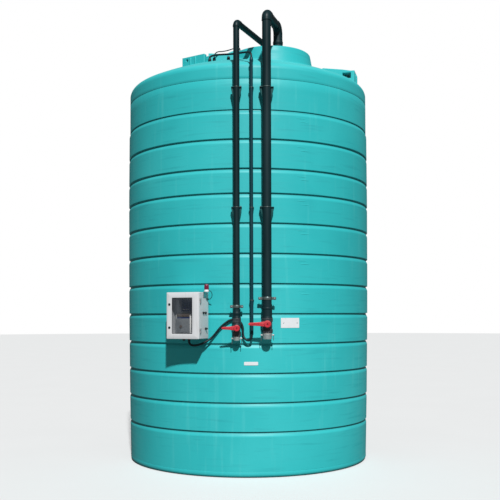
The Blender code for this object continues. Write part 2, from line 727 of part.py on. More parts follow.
def make_handle(name, x, height, lever, hub_radius):
    """The red lever: a hub on the stem with a tapering arm, closed across the pipe."""
    centre = Vector((x, PIPE_Y - HANDLE_STANDOFF, height))
    hub = cylinder(
        name, hub_radius, (0.0, 0.014, 0.0), (0.0, -0.014, 0.0), HANDLE_RED, sides=24,
        end_radius=hub_radius * 0.92,
    )
    hub.data.transform(hub.rotation_quaternion.to_matrix().to_4x4())
    hub.rotation_quaternion = (1.0, 0.0, 0.0, 0.0)
    root_half = hub_radius * 0.72
    tip_half = hub_radius * 0.34
    arm = slab(name + "_arm", [
        (0.0, -root_half), (-lever * 0.35, -root_half * 0.72), (-lever + tip_half, -tip_half),
        (-lever, 0.0), (-lever + tip_half, tip_half), (-lever * 0.35, root_half * 0.72), (0.0, root_half),
    ], 0.012, HANDLE_RED)
    arm.data.transform(Matrix.Rotation(math.pi / 2.0, 4, "X"))
    join(hub, arm)
    bore = cylinder(name + "_bore", 0.0066, (0.0, 0.03, 0.0), (0.0, -0.0110, 0.0), HANDLE_RED, sides=16)
    cut(hub, bore)
    hub.location = centre
    arm.location = centre
    bore.location = Vector(bore.location) + centre
    return hub


def make_adaptor(label, x, valve, cap):
    """The male half of a cam coupling: a flange under the valve and a spigot."""
    top = valve[0] - GAP
    low = cap[0] + CAP_WALL + GAP
    spigot = cap[2] - CAP_WALL - GAP
    flange_low = cap[1] + 0.0015
    outline = [
        (0.0, top), (cap[2] * 0.98, top), (cap[2] * 0.98, flange_low), (spigot, flange_low),
        (spigot, low), (0.0, low),
    ]
    return turned(label + "_adaptor", outline, ALUMINIUM, steps=24, location=(x, PIPE_Y, 0.0))


def make_cap(label, x, cap):
    """The dust cap: a cup with a pair of ears and a pin at each side."""
    low, high, radius = cap
    inner = radius - CAP_WALL
    outline = [
        (0.0, low + CAP_WALL), (inner, low + CAP_WALL), (inner, high), (radius, high),
        (radius, low + 0.008), (radius - 0.008, low), (0.0, low),
    ]
    body = turned(label + "_cap", outline, ALUMINIUM, steps=24, location=(x, PIPE_Y, 0.0))
    pivot_height = high - 0.010
    for side in (-1.0, 1.0):
        pivot = x + side * (radius + ARM_STANDOFF)
        start = x + side * (radius - CAP_WALL / 2.0)
        reach = abs(pivot - start) + 0.007
        for offset in (-0.0085, 0.0085):
            ear = box(
                f"{label}_ear_{side:.0f}_{offset:.3f}", (reach, 0.004, 0.016),
                (start + side * reach / 2.0, PIPE_Y + offset, pivot_height), ALUMINIUM,
            )
            join(body, ear)
        pin = cylinder(
            f"{label}_pin_{side:.0f}", ARM_PIN_RADIUS, (pivot, PIPE_Y - 0.0125, pivot_height),
            (pivot, PIPE_Y + 0.0125, pivot_height), ALUMINIUM, sides=12,
        )
        join(body, pin)
    return body


def make_cam_arm(name, x, cap, side):
    """A cam arm that hangs beside the cap on its pin, with a pull ring at its tip."""
    pivot = Vector((x + side * (cap[2] + ARM_STANDOFF), PIPE_Y, cap[1] - 0.010))
    arm = cylinder(name, 0.0085, (0.0, -0.004, 0.0), (0.0, 0.004, 0.0), ZINC_STEEL, sides=20)
    arm.data.transform(arm.rotation_quaternion.to_matrix().to_4x4())
    arm.rotation_quaternion = (1.0, 0.0, 0.0, 0.0)
    bar = box(name + "_bar", (0.006, 0.008, ARM_LENGTH), (0.0, 0.0, -ARM_LENGTH / 2.0), ZINC_STEEL)
    join(arm, bar)
    bore = cylinder(name + "_bore", ARM_PIN_RADIUS + 0.0004, (0.0, -0.01, 0.0), (0.0, 0.01, 0.0), ZINC_STEEL, sides=12)
    cut(arm, bore)
    for piece in (arm, bar, bore):
        piece.location = Vector(piece.location) + pivot
    return arm


def make_enclosure_frame():
    frame = bpy.data.objects.new("enclosure_frame", None)
    PARTS.objects.link(frame)
    frame.location = polar(BOX_AZIMUTH, wall_radius(BOX_HEIGHT_CENTRE), BOX_HEIGHT_CENTRE)
    frame.rotation_euler = (0.0, 0.0, math.radians(BOX_AZIMUTH))
    bpy.context.view_layer.update()
    return frame


def make_enclosure(frame):
    """The box's body, its wall rails, its door, window, locks, hinges and contents."""
    depth = BOX_BACK - BOX_FRONT
    body = box(
        "enclosure_body", (BOX_WIDTH, depth, BOX_HEIGHT), (0.0, (BOX_BACK + BOX_FRONT) / 2.0, 0.0),
        BOX_GREY, bevel=0.006, parent=frame,
    )
    hollow = box(
        "enclosure_hollow", (BOX_WIDTH - 2.0 * BOX_WALL, depth, BOX_HEIGHT - 2.0 * BOX_WALL),
        (0.0, (BOX_BACK + BOX_FRONT) / 2.0 - BOX_WALL, 0.0), BOX_GREY, parent=frame,
    )
    cut(body, hollow)

    for label, height in (("upper", 0.150), ("lower", -0.150)):
        level = BOX_HEIGHT_CENTRE + height
        back = wall_radius(BOX_HEIGHT_CENTRE) - wall_radius(level) - GAP
        front = BOX_BACK - BOX_WALL / 2.0
        join(body, box(
            f"rail_{label}", (0.300, back - front, 0.032), (0.0, (back + front) / 2.0, height),
            ZINC_STEEL, parent=frame,
        ))

    pivot = bpy.data.objects.new("door_pivot", None)
    PARTS.objects.link(pivot)
    pivot.parent = frame
    pivot.location = (HINGE_X, HINGE_Y, 0.0)

    def on_door(x, y, z):
        return (x - HINGE_X, y - HINGE_Y, z)

    middle = (DOOR_BACK + DOOR_FRONT) / 2.0
    door = box(
        "enclosure_door", (BOX_WIDTH, DOOR_BACK - DOOR_FRONT, BOX_HEIGHT), on_door(0.0, middle, 0.0),
        BOX_GREY, bevel=0.006, parent=pivot,
    )
    window_x, window_z = WINDOW_CENTRE
    wide, tall = WINDOW_SIZE
    rebate = 0.006
    cut(door, box(
        "window_opening", (wide, 0.1, tall), on_door(window_x, middle, window_z), BOX_GREY, parent=pivot,
    ))
    pane_front = DOOR_FRONT + 0.005
    pane_back = pane_front + 0.004
    cut(door, box(
        "window_rebate", (wide + 2.0 * rebate, 0.05, tall + 2.0 * rebate),
        on_door(window_x, pane_front - GAP + 0.025, window_z), BOX_GREY, parent=pivot,
    ))
    box(
        "door_window", (wide + 2.0 * rebate - 2.0 * GAP, pane_back - pane_front, tall + 2.0 * rebate - 2.0 * GAP),
        on_door(window_x, (pane_front + pane_back) / 2.0, window_z), WINDOW_GLASS, parent=pivot,
    )
    pocket = 0.012
    cut(door, box(
        "door_pocket", (0.045, 0.05, BOX_HEIGHT - 0.05), on_door(LOCK_X + 0.010, DOOR_BACK - pocket + 0.025, 0.0),
        BOX_GREY, parent=pivot,
    ))
    for label, height in (("upper", LOCK_HEIGHTS[0]), ("lower", LOCK_HEIGHTS[1])):
        cut(door, cylinder(
            f"lock_hole_{label}", LOCK_RADIUS + 0.0005, on_door(LOCK_X, DOOR_FRONT - 0.02, height),
            on_door(LOCK_X, DOOR_BACK + 0.02, height), BOX_GREY, sides=24, parent=pivot,
        ))
        centre = bpy.data.objects.new(f"lock_pivot_{label}", None)
        PARTS.objects.link(centre)
        centre.parent = pivot
        centre.location = on_door(LOCK_X, DOOR_FRONT, height)
        lock = cylinder(
            f"door_lock_{label}", LOCK_RADIUS, (0.0, 0.0195, 0.0), (0.0, -0.002, 0.0), CLIP_BLACK,
            sides=24, parent=centre,
        )
        head = cylinder(
            f"lock_head_{label}", LOCK_RADIUS + 0.003, (0.0, -GAP, 0.0), (0.0, -0.004, 0.0), CLIP_BLACK,
            sides=24, parent=centre, end_radius=LOCK_RADIUS + 0.002,
        )
        join(lock, head)
        tongue = box(
            f"lock_tongue_{label}", (0.012, 0.003, 0.022), (0.0, 0.018, -0.008), CLIP_BLACK, parent=centre,
        )
        join(lock, tongue)
        slot = box(
            f"lock_slot_{label}", (0.003, 0.004, 0.012), (0.0, -0.004, 0.0), CLIP_BLACK, parent=centre,
        )
        cut(lock, slot)

    half = 0.025
    for index, height in enumerate(HINGE_HEIGHTS):
        leaf_low = BOX_WIDTH / 2.0 - 0.0010
        leaf = box(
            f"hinge_leaf_{index}", (0.0030, 0.028, 2.0 * half),
            (leaf_low + 0.0015, BOX_FRONT + 0.015, height), ZINC_STEEL, parent=frame,
        )
        web = box(
            f"hinge_web_{index}", (HINGE_X - leaf_low, 0.004, half - 0.0005),
            ((leaf_low + HINGE_X) / 2.0, HINGE_Y + 0.0035, height - half / 2.0 - 0.00025), ZINC_STEEL, parent=frame,
        )
        barrel = cylinder(
            f"hinge_barrel_{index}", 0.006, (HINGE_X, HINGE_Y, height - half),
            (HINGE_X, HINGE_Y, height - 0.0005), ZINC_STEEL, sides=20, parent=frame,
        )
        pin = cylinder(
            f"hinge_pin_{index}", 0.003, (HINGE_X, HINGE_Y, height - half + 0.002),
            (HINGE_X, HINGE_Y, height + half), ZINC_STEEL, sides=16, parent=frame,
        )
        for piece in (leaf, web, barrel, pin):
            join(body, piece)
        knuckle = cylinder(
            f"door_knuckle_{index}", 0.006, (0.0, 0.0, height + 0.0005), (0.0, 0.0, height + half),
            BOX_GREY, sides=20, parent=pivot,
        )
        arm = box(
            f"door_knuckle_arm_{index}", (0.012, 0.005, half - 0.0005),
            (-0.0060, -0.0035, height + half / 2.0 + 0.00025), BOX_GREY, parent=pivot,
        )
        bore = cylinder(
            f"door_knuckle_bore_{index}", 0.0034, (0.0, 0.0, height - 0.01), (0.0, 0.0, height + half + 0.01),
            BOX_GREY, sides=16, parent=pivot,
        )
        join(door, knuckle)
        join(door, arm)
        cut(door, bore)
    inner_back = BOX_BACK - BOX_WALL - GAP
    box(
        "display_module", (0.100, 0.055, 0.124), (-0.047, inner_back - 0.0275, 0.105),
        DISPLAY_BLUE, bevel=0.004, parent=frame,
    )
    unit = box(
        "control_unit", (0.184, 0.075, 0.200), (-0.073, inner_back - 0.0375, -0.078),
        DEVICE_GREY, bevel=0.010, parent=frame,
    )
    strip = box(
        "terminal_strip", (0.022, 0.077, 0.172), (0.0217, inner_back - 0.0385, -0.093),
        PLATE_WHITE, parent=frame,
    )
    join(unit, strip)
    return body


def make_box_fittings(frame, body):
    """Beacon with its bracket, side sockets and the cable glands of the box."""
    side = BOX_WIDTH / 2.0 + GAP
    skin = BOX_WIDTH / 2.0 - 0.0015
    shelf = 0.238
    post = box("beacon_bracket", (0.003, 0.050, 0.060), (side + 0.0015, -0.109, shelf - 0.030), ZINC_STEEL, parent=frame)
    ledge = box(
        "beacon_ledge", (0.052, 0.052, 0.003), (side + 0.026, -0.109, shelf - 0.0015), ZINC_STEEL, parent=frame,
    )
    join(post, ledge)
    place = (side + 0.026, -0.109)
    base = [(0.0, 0.022), (0.022, 0.022), (BEACON_RADIUS, 0.019), (BEACON_RADIUS, 0.0), (0.0, 0.0)]
    turned("beacon_base", base, PLATE_WHITE, steps=24, location=(*place, shelf + GAP), parent=frame)
    lens = [(0.0, 0.056), (0.0145, 0.053), (0.0210, 0.046), (0.0235, 0.036), (0.0240, 0.0), (0.0, 0.0)]
    turned("beacon_lens", lens, LENS_RED, steps=24, location=(*place, shelf + 0.022 + 2.0 * GAP), parent=frame)

    join(body, cylinder(
        "beacon_gland", 0.008, (skin, -0.035, 0.165), (side + 0.0100, -0.035, 0.165), CLIP_BLACK, sides=6,
        parent=frame,
    ))
    for index, y in enumerate((-0.134, -0.086)):
        join(body, cylinder(
            f"socket_{index}", 0.0125, (skin, y, 0.027), (side + 0.012, y, 0.027), CLIP_BLACK, sides=20,
            parent=frame, end_radius=0.011,
        ))
    join(body, cylinder(
        "gland_nut_side", 0.0125, (skin, -0.086, -0.132), (side + 0.014, -0.086, -0.132), CLIP_BLACK,
        sides=6, parent=frame,
    ))
    join(body, cylinder(
        "gland_neck_side", 0.0095, (side + 0.010, -0.086, -0.132), (side + 0.026, -0.086, -0.132), CLIP_BLACK,
        sides=20, parent=frame, end_radius=0.007,
    ))
    under = -BOX_HEIGHT / 2.0
    for index, x in enumerate((0.010, -0.050)):
        join(body, cylinder(
            f"gland_nut_{index}", 0.017, (x, -0.109, under - 0.012), (x, -0.109, under + 0.0015), CLIP_BLACK,
            sides=6, parent=frame,
        ))
        join(body, cylinder(
            f"gland_dome_{index}", 0.011, (x, -0.109, under - 0.022), (x, -0.109, under - 0.008), CLIP_BLACK,
            sides=20, parent=frame, end_radius=0.014,
        ))


def in_frame(frame, x, y, z):
    return frame.matrix_world @ Vector((x, y, z))


def make_cables(frame):
    """Free cables: from the box to the conduit, over the roof, and to the platform."""
    under = -BOX_HEIGHT / 2.0 - 0.022 - GAP
    control = [
        in_frame(frame, 0.010, -0.109, under), in_frame(frame, 0.010, -0.109, under - 0.008),
        in_frame(frame, 0.015, -0.107, under - 0.026), in_frame(frame, 0.032, -0.102, under - 0.041),
        in_frame(frame, 0.060, -0.094, under - 0.046), in_frame(frame, 0.110, -0.078, under - 0.038),
        in_frame(frame, 0.168, -0.058, under - 0.012),
        Vector((-0.363, -1.371, 1.424)), Vector((-0.280, -1.388, 1.522)), Vector((-0.208, -1.400, 1.580)),
        Vector((-0.157, -1.4030, 1.6000)), Vector((-0.108, -1.4055, 1.5935)), Vector((-0.073, -1.4085, 1.562)),
        Vector((-0.056, -1.412, 1.514)), Vector((-0.055, -1.417, 1.462)), Vector((-0.045, -1.425, 1.420)),
        Vector((-0.011, -1.437, 1.392)), Vector((0.024, -1.447, 1.404)),
        Vector((CONDUIT_X, CONDUIT_Y, CONDUIT_BOTTOM - GAP - 0.014)),
        Vector((CONDUIT_X, CONDUIT_Y, CONDUIT_BOTTOM - GAP)),
    ]
    cable("control_cable", control, CONTROL_CABLE_DIAMETER, 3)

    base_side = BOX_WIDTH / 2.0 + GAP + 0.026 + BEACON_RADIUS + GAP
    gland_end = BOX_WIDTH / 2.0 + 2.0 * GAP + 0.0100
    beacon = [
        in_frame(frame, base_side, -0.109, 0.250), in_frame(frame, 0.2400, -0.109, 0.250),
        in_frame(frame, 0.2520, -0.104, 0.243), in_frame(frame, 0.2575, -0.093, 0.228),
        in_frame(frame, 0.2555, -0.079, 0.210), in_frame(frame, 0.2460, -0.064, 0.192),
        in_frame(frame, 0.2300, -0.049, 0.177), in_frame(frame, 0.2130, -0.038, 0.168),
        in_frame(frame, 0.2010, -0.035, 0.165), in_frame(frame, gland_end, -0.035, 0.165),
    ]
    cable("beacon_cable", beacon, BEACON_CABLE_DIAMETER, 3)

    sleeve_top = CONDUIT_TOP + 0.022 + GAP
    roof_seat = dome_height(*ROOF_GLAND) + 0.034 + GAP
    roof = [
        Vector((CONDUIT_X, CONDUIT_Y, sleeve_top)), Vector((CONDUIT_X, CONDUIT_Y, sleeve_top + 0.012)),
        Vector((0.0321, -1.4447, 4.291)), Vector((0.0242, -1.4303, 4.308)), Vector((0.0028, -1.3912, 4.3255)),
        Vector((-0.030, -1.3316, 4.3430)), Vector((-0.090, -1.228, 4.3690)), Vector((-0.176, -1.115, 4.394)),
        Vector((-0.268, -1.040, 4.414)), Vector((-0.336, -1.001, 4.4215)), Vector((-0.383, -0.986, 4.416)),
        Vector((*ROOF_GLAND, roof_seat + 0.012)), Vector((*ROOF_GLAND, roof_seat)),
    ]
    cable("roof_cable", roof, ROOF_CABLE_DIAMETER, 3)

    for label, (x, y) in (("roof", ROOF_GLAND), ("level", LEVEL_GLAND), ("spare", SPARE_GLAND)):
        seat = dome_height(x, y)
        nut = cylinder(f"{label}_gland", 0.020, (x, y, seat - 0.03), (x, y, seat + 0.016), CLIP_BLACK, sides=6)
        dome = cylinder(
            f"{label}_gland_dome", 0.016, (x, y, seat + 0.010), (x, y, seat + 0.034), CLIP_BLACK, sides=20,
            end_radius=0.012,
        )
        join(nut, dome)
        cut(nut, roof_cutter(label + "_gland_seat"))
    entry = PLATFORM_GLAND
    cylinder(
        "platform_gland", 0.014, (*entry, TURRET_TOP + GAP), (*entry, TURRET_TOP + 0.022), CLIP_BLACK, sides=6,
    )

    seat = dome_height(*LEVEL_GLAND) + 0.034 + GAP
    entry_top = TURRET_TOP + 0.022 + GAP
    level = [
        Vector((*LEVEL_GLAND, seat)), Vector((*LEVEL_GLAND, seat + 0.010)), Vector((-0.357, -0.953, seat + 0.032)),
        Vector((-0.343, -0.943, seat + 0.057)), Vector((-0.316, -0.928, seat + 0.074)),
        Vector((-0.277, -0.909, seat + 0.083)), Vector((-0.236, -0.887, seat + 0.097)),
        Vector((-0.195, -0.860, seat + 0.117)), Vector((-0.158, -0.829, seat + 0.140)),
        Vector((-0.126, -0.800, entry_top + 0.034)), Vector((-0.102, -0.780, entry_top + 0.036)),
        Vector((-0.088, -0.7675, entry_top + 0.025)), Vector((*entry, entry_top + 0.008)), Vector((*entry, entry_top)),
    ]
    cable("level_cable", level, LEVEL_CABLE_DIAMETER, 3)


def make_plates():
    """The blank white name plate with two rivets and the small plate below it."""
    def plate(name, azimuth, centre_height, width, height):
        low = centre_height - height / 2.0
        high = centre_height + height / 2.0
        skin = 0.0022
        outline = [
            (wall_radius(high) + GAP + skin, high), (wall_radius(low) + GAP + skin, low),
            (wall_radius(low) + GAP, low), (wall_radius(high) + GAP, high),
        ]
        ring = turned(name, outline, PLATE_WHITE, closed=True)
        window = box(name + "_window", (width, 0.4, 0.5), (0.0, 0.0, 0.0), PLATE_WHITE)
        window.rotation_euler = (0.0, 0.0, math.radians(azimuth))
        window.location = polar(azimuth, BASE_RADIUS, centre_height)
        combine(ring, window, "INTERSECT")
        return ring

    upper = plate("name_plate", 17.85, NAME_PLATE_HEIGHT, 0.199, 0.102)
    plate("lower_plate", 1.1, 1.154, 0.142, 0.035)
    half_step = math.pi / TURN_STEPS
    for azimuth in (15.0, 21.0):
        outer = wall_radius(NAME_PLATE_HEIGHT) * math.cos(half_step) + GAP
        start = polar(azimuth, outer + 0.0008, NAME_PLATE_HEIGHT)
        end = polar(azimuth, outer + 0.0060, NAME_PLATE_HEIGHT)
        join(upper, cylinder(f"rivet_{azimuth:.0f}", 0.006, start, end, ZINC_STEEL, sides=12, end_radius=0.004))


def build_tank():
    make_tank_wall()
    make_tank_floor()
    make_tank_roof()
    make_turret()
    make_lug("lifting_lug_left", *LUG_LEFT, closed=False)
    make_lug("lifting_lug_right", *LUG_RIGHT, closed=True)
    make_lug("lifting_lug_rear", *LUG_REAR, closed=True)


def build_lines():
    fill_end = (FILL_DROP, FILL_CROSSOVER_RISE, FILL_DROP_BEND)
    draw_end = (DRAW_DROP, DRAW_CROSSOVER_RISE, DRAW_DROP_BEND)
    lines = (
        ("fill", FILL_X, FILL_RADIUS, FILL_ELBOW_RADIUS, FILL_CROSSOVER_HEIGHT, fill_end, FILL_COUPLING, 4.624),
        ("draw", DRAW_X, DRAW_RADIUS, DRAW_ELBOW_RADIUS, DRAW_CROSSOVER_HEIGHT, draw_end, DRAW_COUPLING, 4.560),
    )
    for label, x, radius, elbow, height, far_end, coupling, socket in lines:
        riser = make_pipe_line(label, x, radius, elbow, height, *far_end, coupling[1], socket)
        add_coupling(riser, label, x, *coupling)
    conduit = cylinder(
        "cable_conduit", CONDUIT_RADIUS, (CONDUIT_X, CONDUIT_Y, CONDUIT_BOTTOM),
        (CONDUIT_X, CONDUIT_Y, CONDUIT_TOP), PIPE_BLACK, sides=20,
    )
    join(conduit, cylinder(
        "conduit_sleeve", 0.021, (CONDUIT_X, CONDUIT_Y, CONDUIT_TOP - 0.005),
        (CONDUIT_X, CONDUIT_Y, CONDUIT_TOP + 0.022), CLIP_BLACK, sides=20, end_radius=0.014,
    ))
    make_clips()
    make_valve("fill_valve", FILL_X, FILL_VALVE, FILL_HANDLE_HEIGHT)
    make_valve("draw_valve", DRAW_X, DRAW_VALVE, DRAW_HANDLE_HEIGHT)
    make_handle("fill_valve_handle", FILL_X, FILL_HANDLE_HEIGHT, FILL_LEVER, 0.037)
    make_handle("draw_valve_handle", DRAW_X, DRAW_HANDLE_HEIGHT, DRAW_LEVER, 0.033)
    for label, x, valve, cap in (("fill", FILL_X, FILL_VALVE, FILL_CAP), ("draw", DRAW_X, DRAW_VALVE, DRAW_CAP)):
        make_adaptor(label, x, valve, cap)
        make_cap(label, x, cap)
        make_cam_arm(label + "_cam_arm_left", x, cap, -1.0)
        make_cam_arm(label + "_cam_arm_right", x, cap, 1.0)


build_tank()
build_lines()
enclosure_frame = make_enclosure_frame()
enclosure_body = make_enclosure(enclosure_frame)
make_box_fittings(enclosure_frame, enclosure_body)
make_cables(enclosure_frame)
make_plates()
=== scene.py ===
import math
from functools import partial

import bmesh
import bpy
import numpy as np
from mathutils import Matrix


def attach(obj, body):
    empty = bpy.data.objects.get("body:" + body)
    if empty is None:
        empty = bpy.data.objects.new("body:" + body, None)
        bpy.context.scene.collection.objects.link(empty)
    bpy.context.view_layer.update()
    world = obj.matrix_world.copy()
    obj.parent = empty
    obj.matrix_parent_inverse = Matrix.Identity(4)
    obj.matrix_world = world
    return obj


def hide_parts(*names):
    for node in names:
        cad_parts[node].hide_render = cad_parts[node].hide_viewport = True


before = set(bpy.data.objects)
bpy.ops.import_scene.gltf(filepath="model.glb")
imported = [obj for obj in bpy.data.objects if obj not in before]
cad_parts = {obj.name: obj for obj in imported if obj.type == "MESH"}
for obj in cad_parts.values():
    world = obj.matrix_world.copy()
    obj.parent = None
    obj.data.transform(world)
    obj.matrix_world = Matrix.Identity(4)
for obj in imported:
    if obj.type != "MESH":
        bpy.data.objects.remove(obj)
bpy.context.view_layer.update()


# The view from a standing person's eye height, nearly square on to the side that carries the
# pipes. A plain pale floor and an even white surround, with one broad soft lamp high on the right.
camera_data = bpy.data.cameras.new("view_camera")
camera_data.sensor_width = 36.0
camera_data.lens = 58.73
camera_data.shift_y = 0.08
camera = bpy.data.objects.new("view_camera", camera_data)
camera.location = (0.0, -9.64, 1.661)
camera.rotation_euler = (math.radians(91.645), math.radians(0.127), math.radians(-0.116))
bpy.context.scene.collection.objects.link(camera)
bpy.context.scene.camera = camera

world = bpy.data.worlds.new("white_surround")
world.use_nodes = True
world.node_tree.nodes["Background"].inputs["Color"].default_value = (0.88, 0.98, 1.0, 1.0)
world.node_tree.nodes["Background"].inputs["Strength"].default_value = 0.150
backdrop = world.node_tree.nodes.new("ShaderNodeBackground")
backdrop.inputs["Color"].default_value = (1.0, 1.0, 1.0, 1.0)
seen = world.node_tree.nodes.new("ShaderNodeLightPath")
either = world.node_tree.nodes.new("ShaderNodeMixShader")
world.node_tree.links.new(seen.outputs["Is Camera Ray"], either.inputs["Fac"])
world.node_tree.links.new(world.node_tree.nodes["Background"].outputs["Background"], either.inputs[1])
world.node_tree.links.new(backdrop.outputs["Background"], either.inputs[2])
world.node_tree.links.new(either.outputs["Shader"], world.node_tree.nodes["World Output"].inputs["Surface"])
bpy.context.scene.world = world
bpy.context.scene.view_settings.view_transform = "Standard"


def add_lamp(name, azimuth, elevation, strength, width):
    """A distant lamp of an angular width, seen at an azimuth right of the view and an elevation."""
    data = bpy.data.lights.new(name, "SUN")
    data.energy = strength
    data.angle = math.radians(width)
    lamp = bpy.data.objects.new(name, data)
    lamp.rotation_euler = (math.radians(90.0 - elevation), 0.0, math.radians(azimuth))
    bpy.context.scene.collection.objects.link(lamp)
    return lamp


add_lamp("soft_key_lamp", 7.5, 44.0, 5.0, 2.4)


# The plain floor: a wide flat disc under the tank. It looks pale to the camera, and throws about
# a fifth as much light back at the tank.
def grid_quads(rows, columns, wrap_rows, wrap_columns):
    """Corner numbers of each quad: cell (i, j) joins points (i, j), (i, j+1), (i+1, j+1), (i+1, j)."""
    i = np.arange(rows if wrap_rows else rows - 1)[:, None]
    j = np.arange(columns if wrap_columns else columns - 1)[None, :]
    below = (i + 1) % rows
    right = (j + 1) % columns
    corners = [i * columns + j, i * columns + right, below * columns + right, below * columns + j]
    return np.stack([corner.ravel() for corner in corners], -1)


def shade(mesh, sharp):
    """Shade a mesh smooth, with a crease where two faces meet at more than sharp degrees."""
    mesh.polygons.foreach_set("use_smooth", np.ones(len(mesh.polygons), bool))
    mesh.set_sharp_from_angle(angle=math.radians(sharp))


def closed_piece(name, points, faces, material, sharp):
    """A piece from its points and faces: doubles merged, faces turned outwards, shaded smooth."""
    mesh = bpy.data.meshes.new(name)
    mesh.from_pydata(points.tolist(), [], faces)
    skin = bmesh.new()
    skin.from_mesh(mesh)
    bmesh.ops.remove_doubles(skin, verts=skin.verts, dist=0.00002)
    bmesh.ops.recalc_face_normals(skin, faces=skin.faces)
    skin.to_mesh(mesh)
    skin.free()
    shade(mesh, sharp)
    mesh.materials.append(material)
    piece = bpy.data.objects.new(name, mesh)
    bpy.context.scene.collection.objects.link(piece)
    return piece


def surface(name, points, material, wrap_rows=False, wrap_columns=True, sharp=40.0):
    """The closed skin of a grid of points. Rows that shrink to one spot become a pole."""
    quads = grid_quads(*points.shape[:2], wrap_rows, wrap_columns)
    return closed_piece(name, points.reshape(-1, 3), quads.tolist(), material, sharp)


def full_turn(columns):
    """The angles of a full turn in equal steps, as one row."""
    return np.linspace(0.0, 2.0 * np.pi, columns, endpoint=False)[None, :]


def about_axis(radius, angle, level, centre=(0.0, 0.0)):
    """Points about an upright axis: x = r sin a, y = -r cos a, z = level. Angle 0 faces the front."""
    x = centre[0] + radius * np.sin(angle)
    y = centre[1] - radius * np.cos(angle)
    return np.stack([x, y, level + 0.0 * x], -1)


def revolved(profile, centre=(0.0, 0.0), columns=64):
    """Grid of a profile of (radius, level) pairs, turned about an upright axis."""
    radius, level = np.asarray(profile, float).T[..., None]
    return about_axis(radius, full_turn(columns), level, centre)


def even_material(name, colour, roughness, metallic=0.0, specular=0.5):
    """A material whose even numbers sit on the shader's own sockets."""
    material = bpy.data.materials.new(name)
    material.use_nodes = True
    shader = material.node_tree.nodes["Principled BSDF"]
    shader.inputs["Base Color"].default_value = (*colour, 1.0)
    shader.inputs["Roughness"].default_value = roughness
    shader.inputs["Metallic"].default_value = metallic
    shader.inputs["Specular IOR Level"].default_value = specular
    material.diffuse_color = (*colour, 1.0)
    return material


def noise_field(material, scale, stretch=(1.0, 1.0, 1.0), detail=4.0, distortion=0.0):
    """A cloudy field from 0 to 1 on Object coordinates, stretched along the axes."""
    nodes, links = material.node_tree.nodes, material.node_tree.links
    place = nodes.new("ShaderNodeTexCoord")
    mapping = nodes.new("ShaderNodeMapping")
    mapping.inputs["Scale"].default_value = stretch
    noise = nodes.new("ShaderNodeTexNoise")
    noise.inputs["Scale"].default_value = scale
    noise.inputs["Detail"].default_value = detail
    noise.inputs["Distortion"].default_value = distortion
    links.new(place.outputs["Object"], mapping.inputs["Vector"])
    links.new(mapping.outputs["Vector"], noise.inputs["Vector"])
    return noise.outputs["Fac"]


def between(material, field, low, high, start=0.0, end=1.0):
    """Carry a field from low..high over to start..end, held at both ends."""
    nodes, links = material.node_tree.nodes, material.node_tree.links
    step = nodes.new("ShaderNodeMapRange")
    step.inputs["From Min"].default_value = low
    step.inputs["From Max"].default_value = high
    step.inputs["To Min"].default_value = start
    step.inputs["To Max"].default_value = end
    links.new(field, step.inputs["Value"])
    return step.outputs["Result"]


def lay_over(material, amount, colour):
    """Lay a colour over what the material has so far, by an amount that varies from 0 to 1."""
    nodes, links = material.node_tree.nodes, material.node_tree.links
    target = nodes["Principled BSDF"].inputs["Base Color"]
    mix = nodes.new("ShaderNodeMix")
    mix.data_type = "RGBA"
    under, over = mix.inputs[6], mix.inputs[7]
    if target.is_linked:
        links.new(target.links[0].from_socket, under)
    else:
        under.default_value = target.default_value
    over.default_value = (*colour, 1.0)
    links.new(amount, mix.inputs[0])
    links.new(mix.outputs[2], target)


def stain(material, field, low, high, most, colour):
    """Cover with a colour where a field goes from low to high, by a share that ends at most."""
    lay_over(material, between(material, field, low, high, 0.0, most), colour)


floor_paint = even_material("pale_floor", (0.15, 0.15, 0.15), 0.7)
floor_cloud = noise_field(floor_paint, 0.9)
floor_sight = floor_paint.node_tree.nodes.new("ShaderNodeLightPath")
lay_over(floor_paint, floor_sight.outputs["Is Camera Ray"], (0.72, 0.72, 0.72))
stain(floor_paint, floor_cloud, 0.35, 0.75, 0.08, (0.60, 0.60, 0.60))
FLOOR_REACH = 60.0
FLOOR_LEVEL = -0.001
floor_disc = revolved([(0.0, FLOOR_LEVEL), (FLOOR_REACH, FLOOR_LEVEL)], columns=96)
floor = surface("pale_floor", floor_disc, floor_paint)


# The tank wall: one rotationally moulded polyethylene shell with thirteen flat bands. Between
# two bands the mould leaves a narrow groove: a sharp lip above it, a flat floor, and a rounded
# shoulder on the lower band. The groove is darkened with grime and painted shade.
BASE_RADIUS = 1.363
WALL_FLARE = 0.024
WALL_BULGE = 0.018
WALL_TOP = 4.100
TOP_BAND_RADIUS = 1.3825
GROOVES = np.array([0.457, 0.753, 1.051, 1.351, 1.656, 1.962, 2.270, 2.578, 2.882, 3.135, 3.437, 3.736])
GROOVE_DEPTH = 0.018
LIP_LEVEL = 0.005
LIP_RISE = 0.004
GROOVE_FLOOR = 0.010
SHOULDER_FALL = 0.042
WALL_BOTTOM = 0.0603
WALL_END = 4.0597
WALL_THICKNESS = 0.022
WALL_EDGE = 0.004
WALL_COLUMNS = 256


def wall_radius(height):
    """Band radius: it widens in a straight line by 24 mm up the wall, and a parabola adds 18 mm at
    mid height. The top band is straight."""
    height = np.asarray(height, float)
    share = height / WALL_TOP
    bulged = BASE_RADIUS + WALL_FLARE * share + 4.0 * WALL_BULGE * share * (1.0 - share)
    return np.where(height > GROOVES[-1], TOP_BAND_RADIUS, bulged)


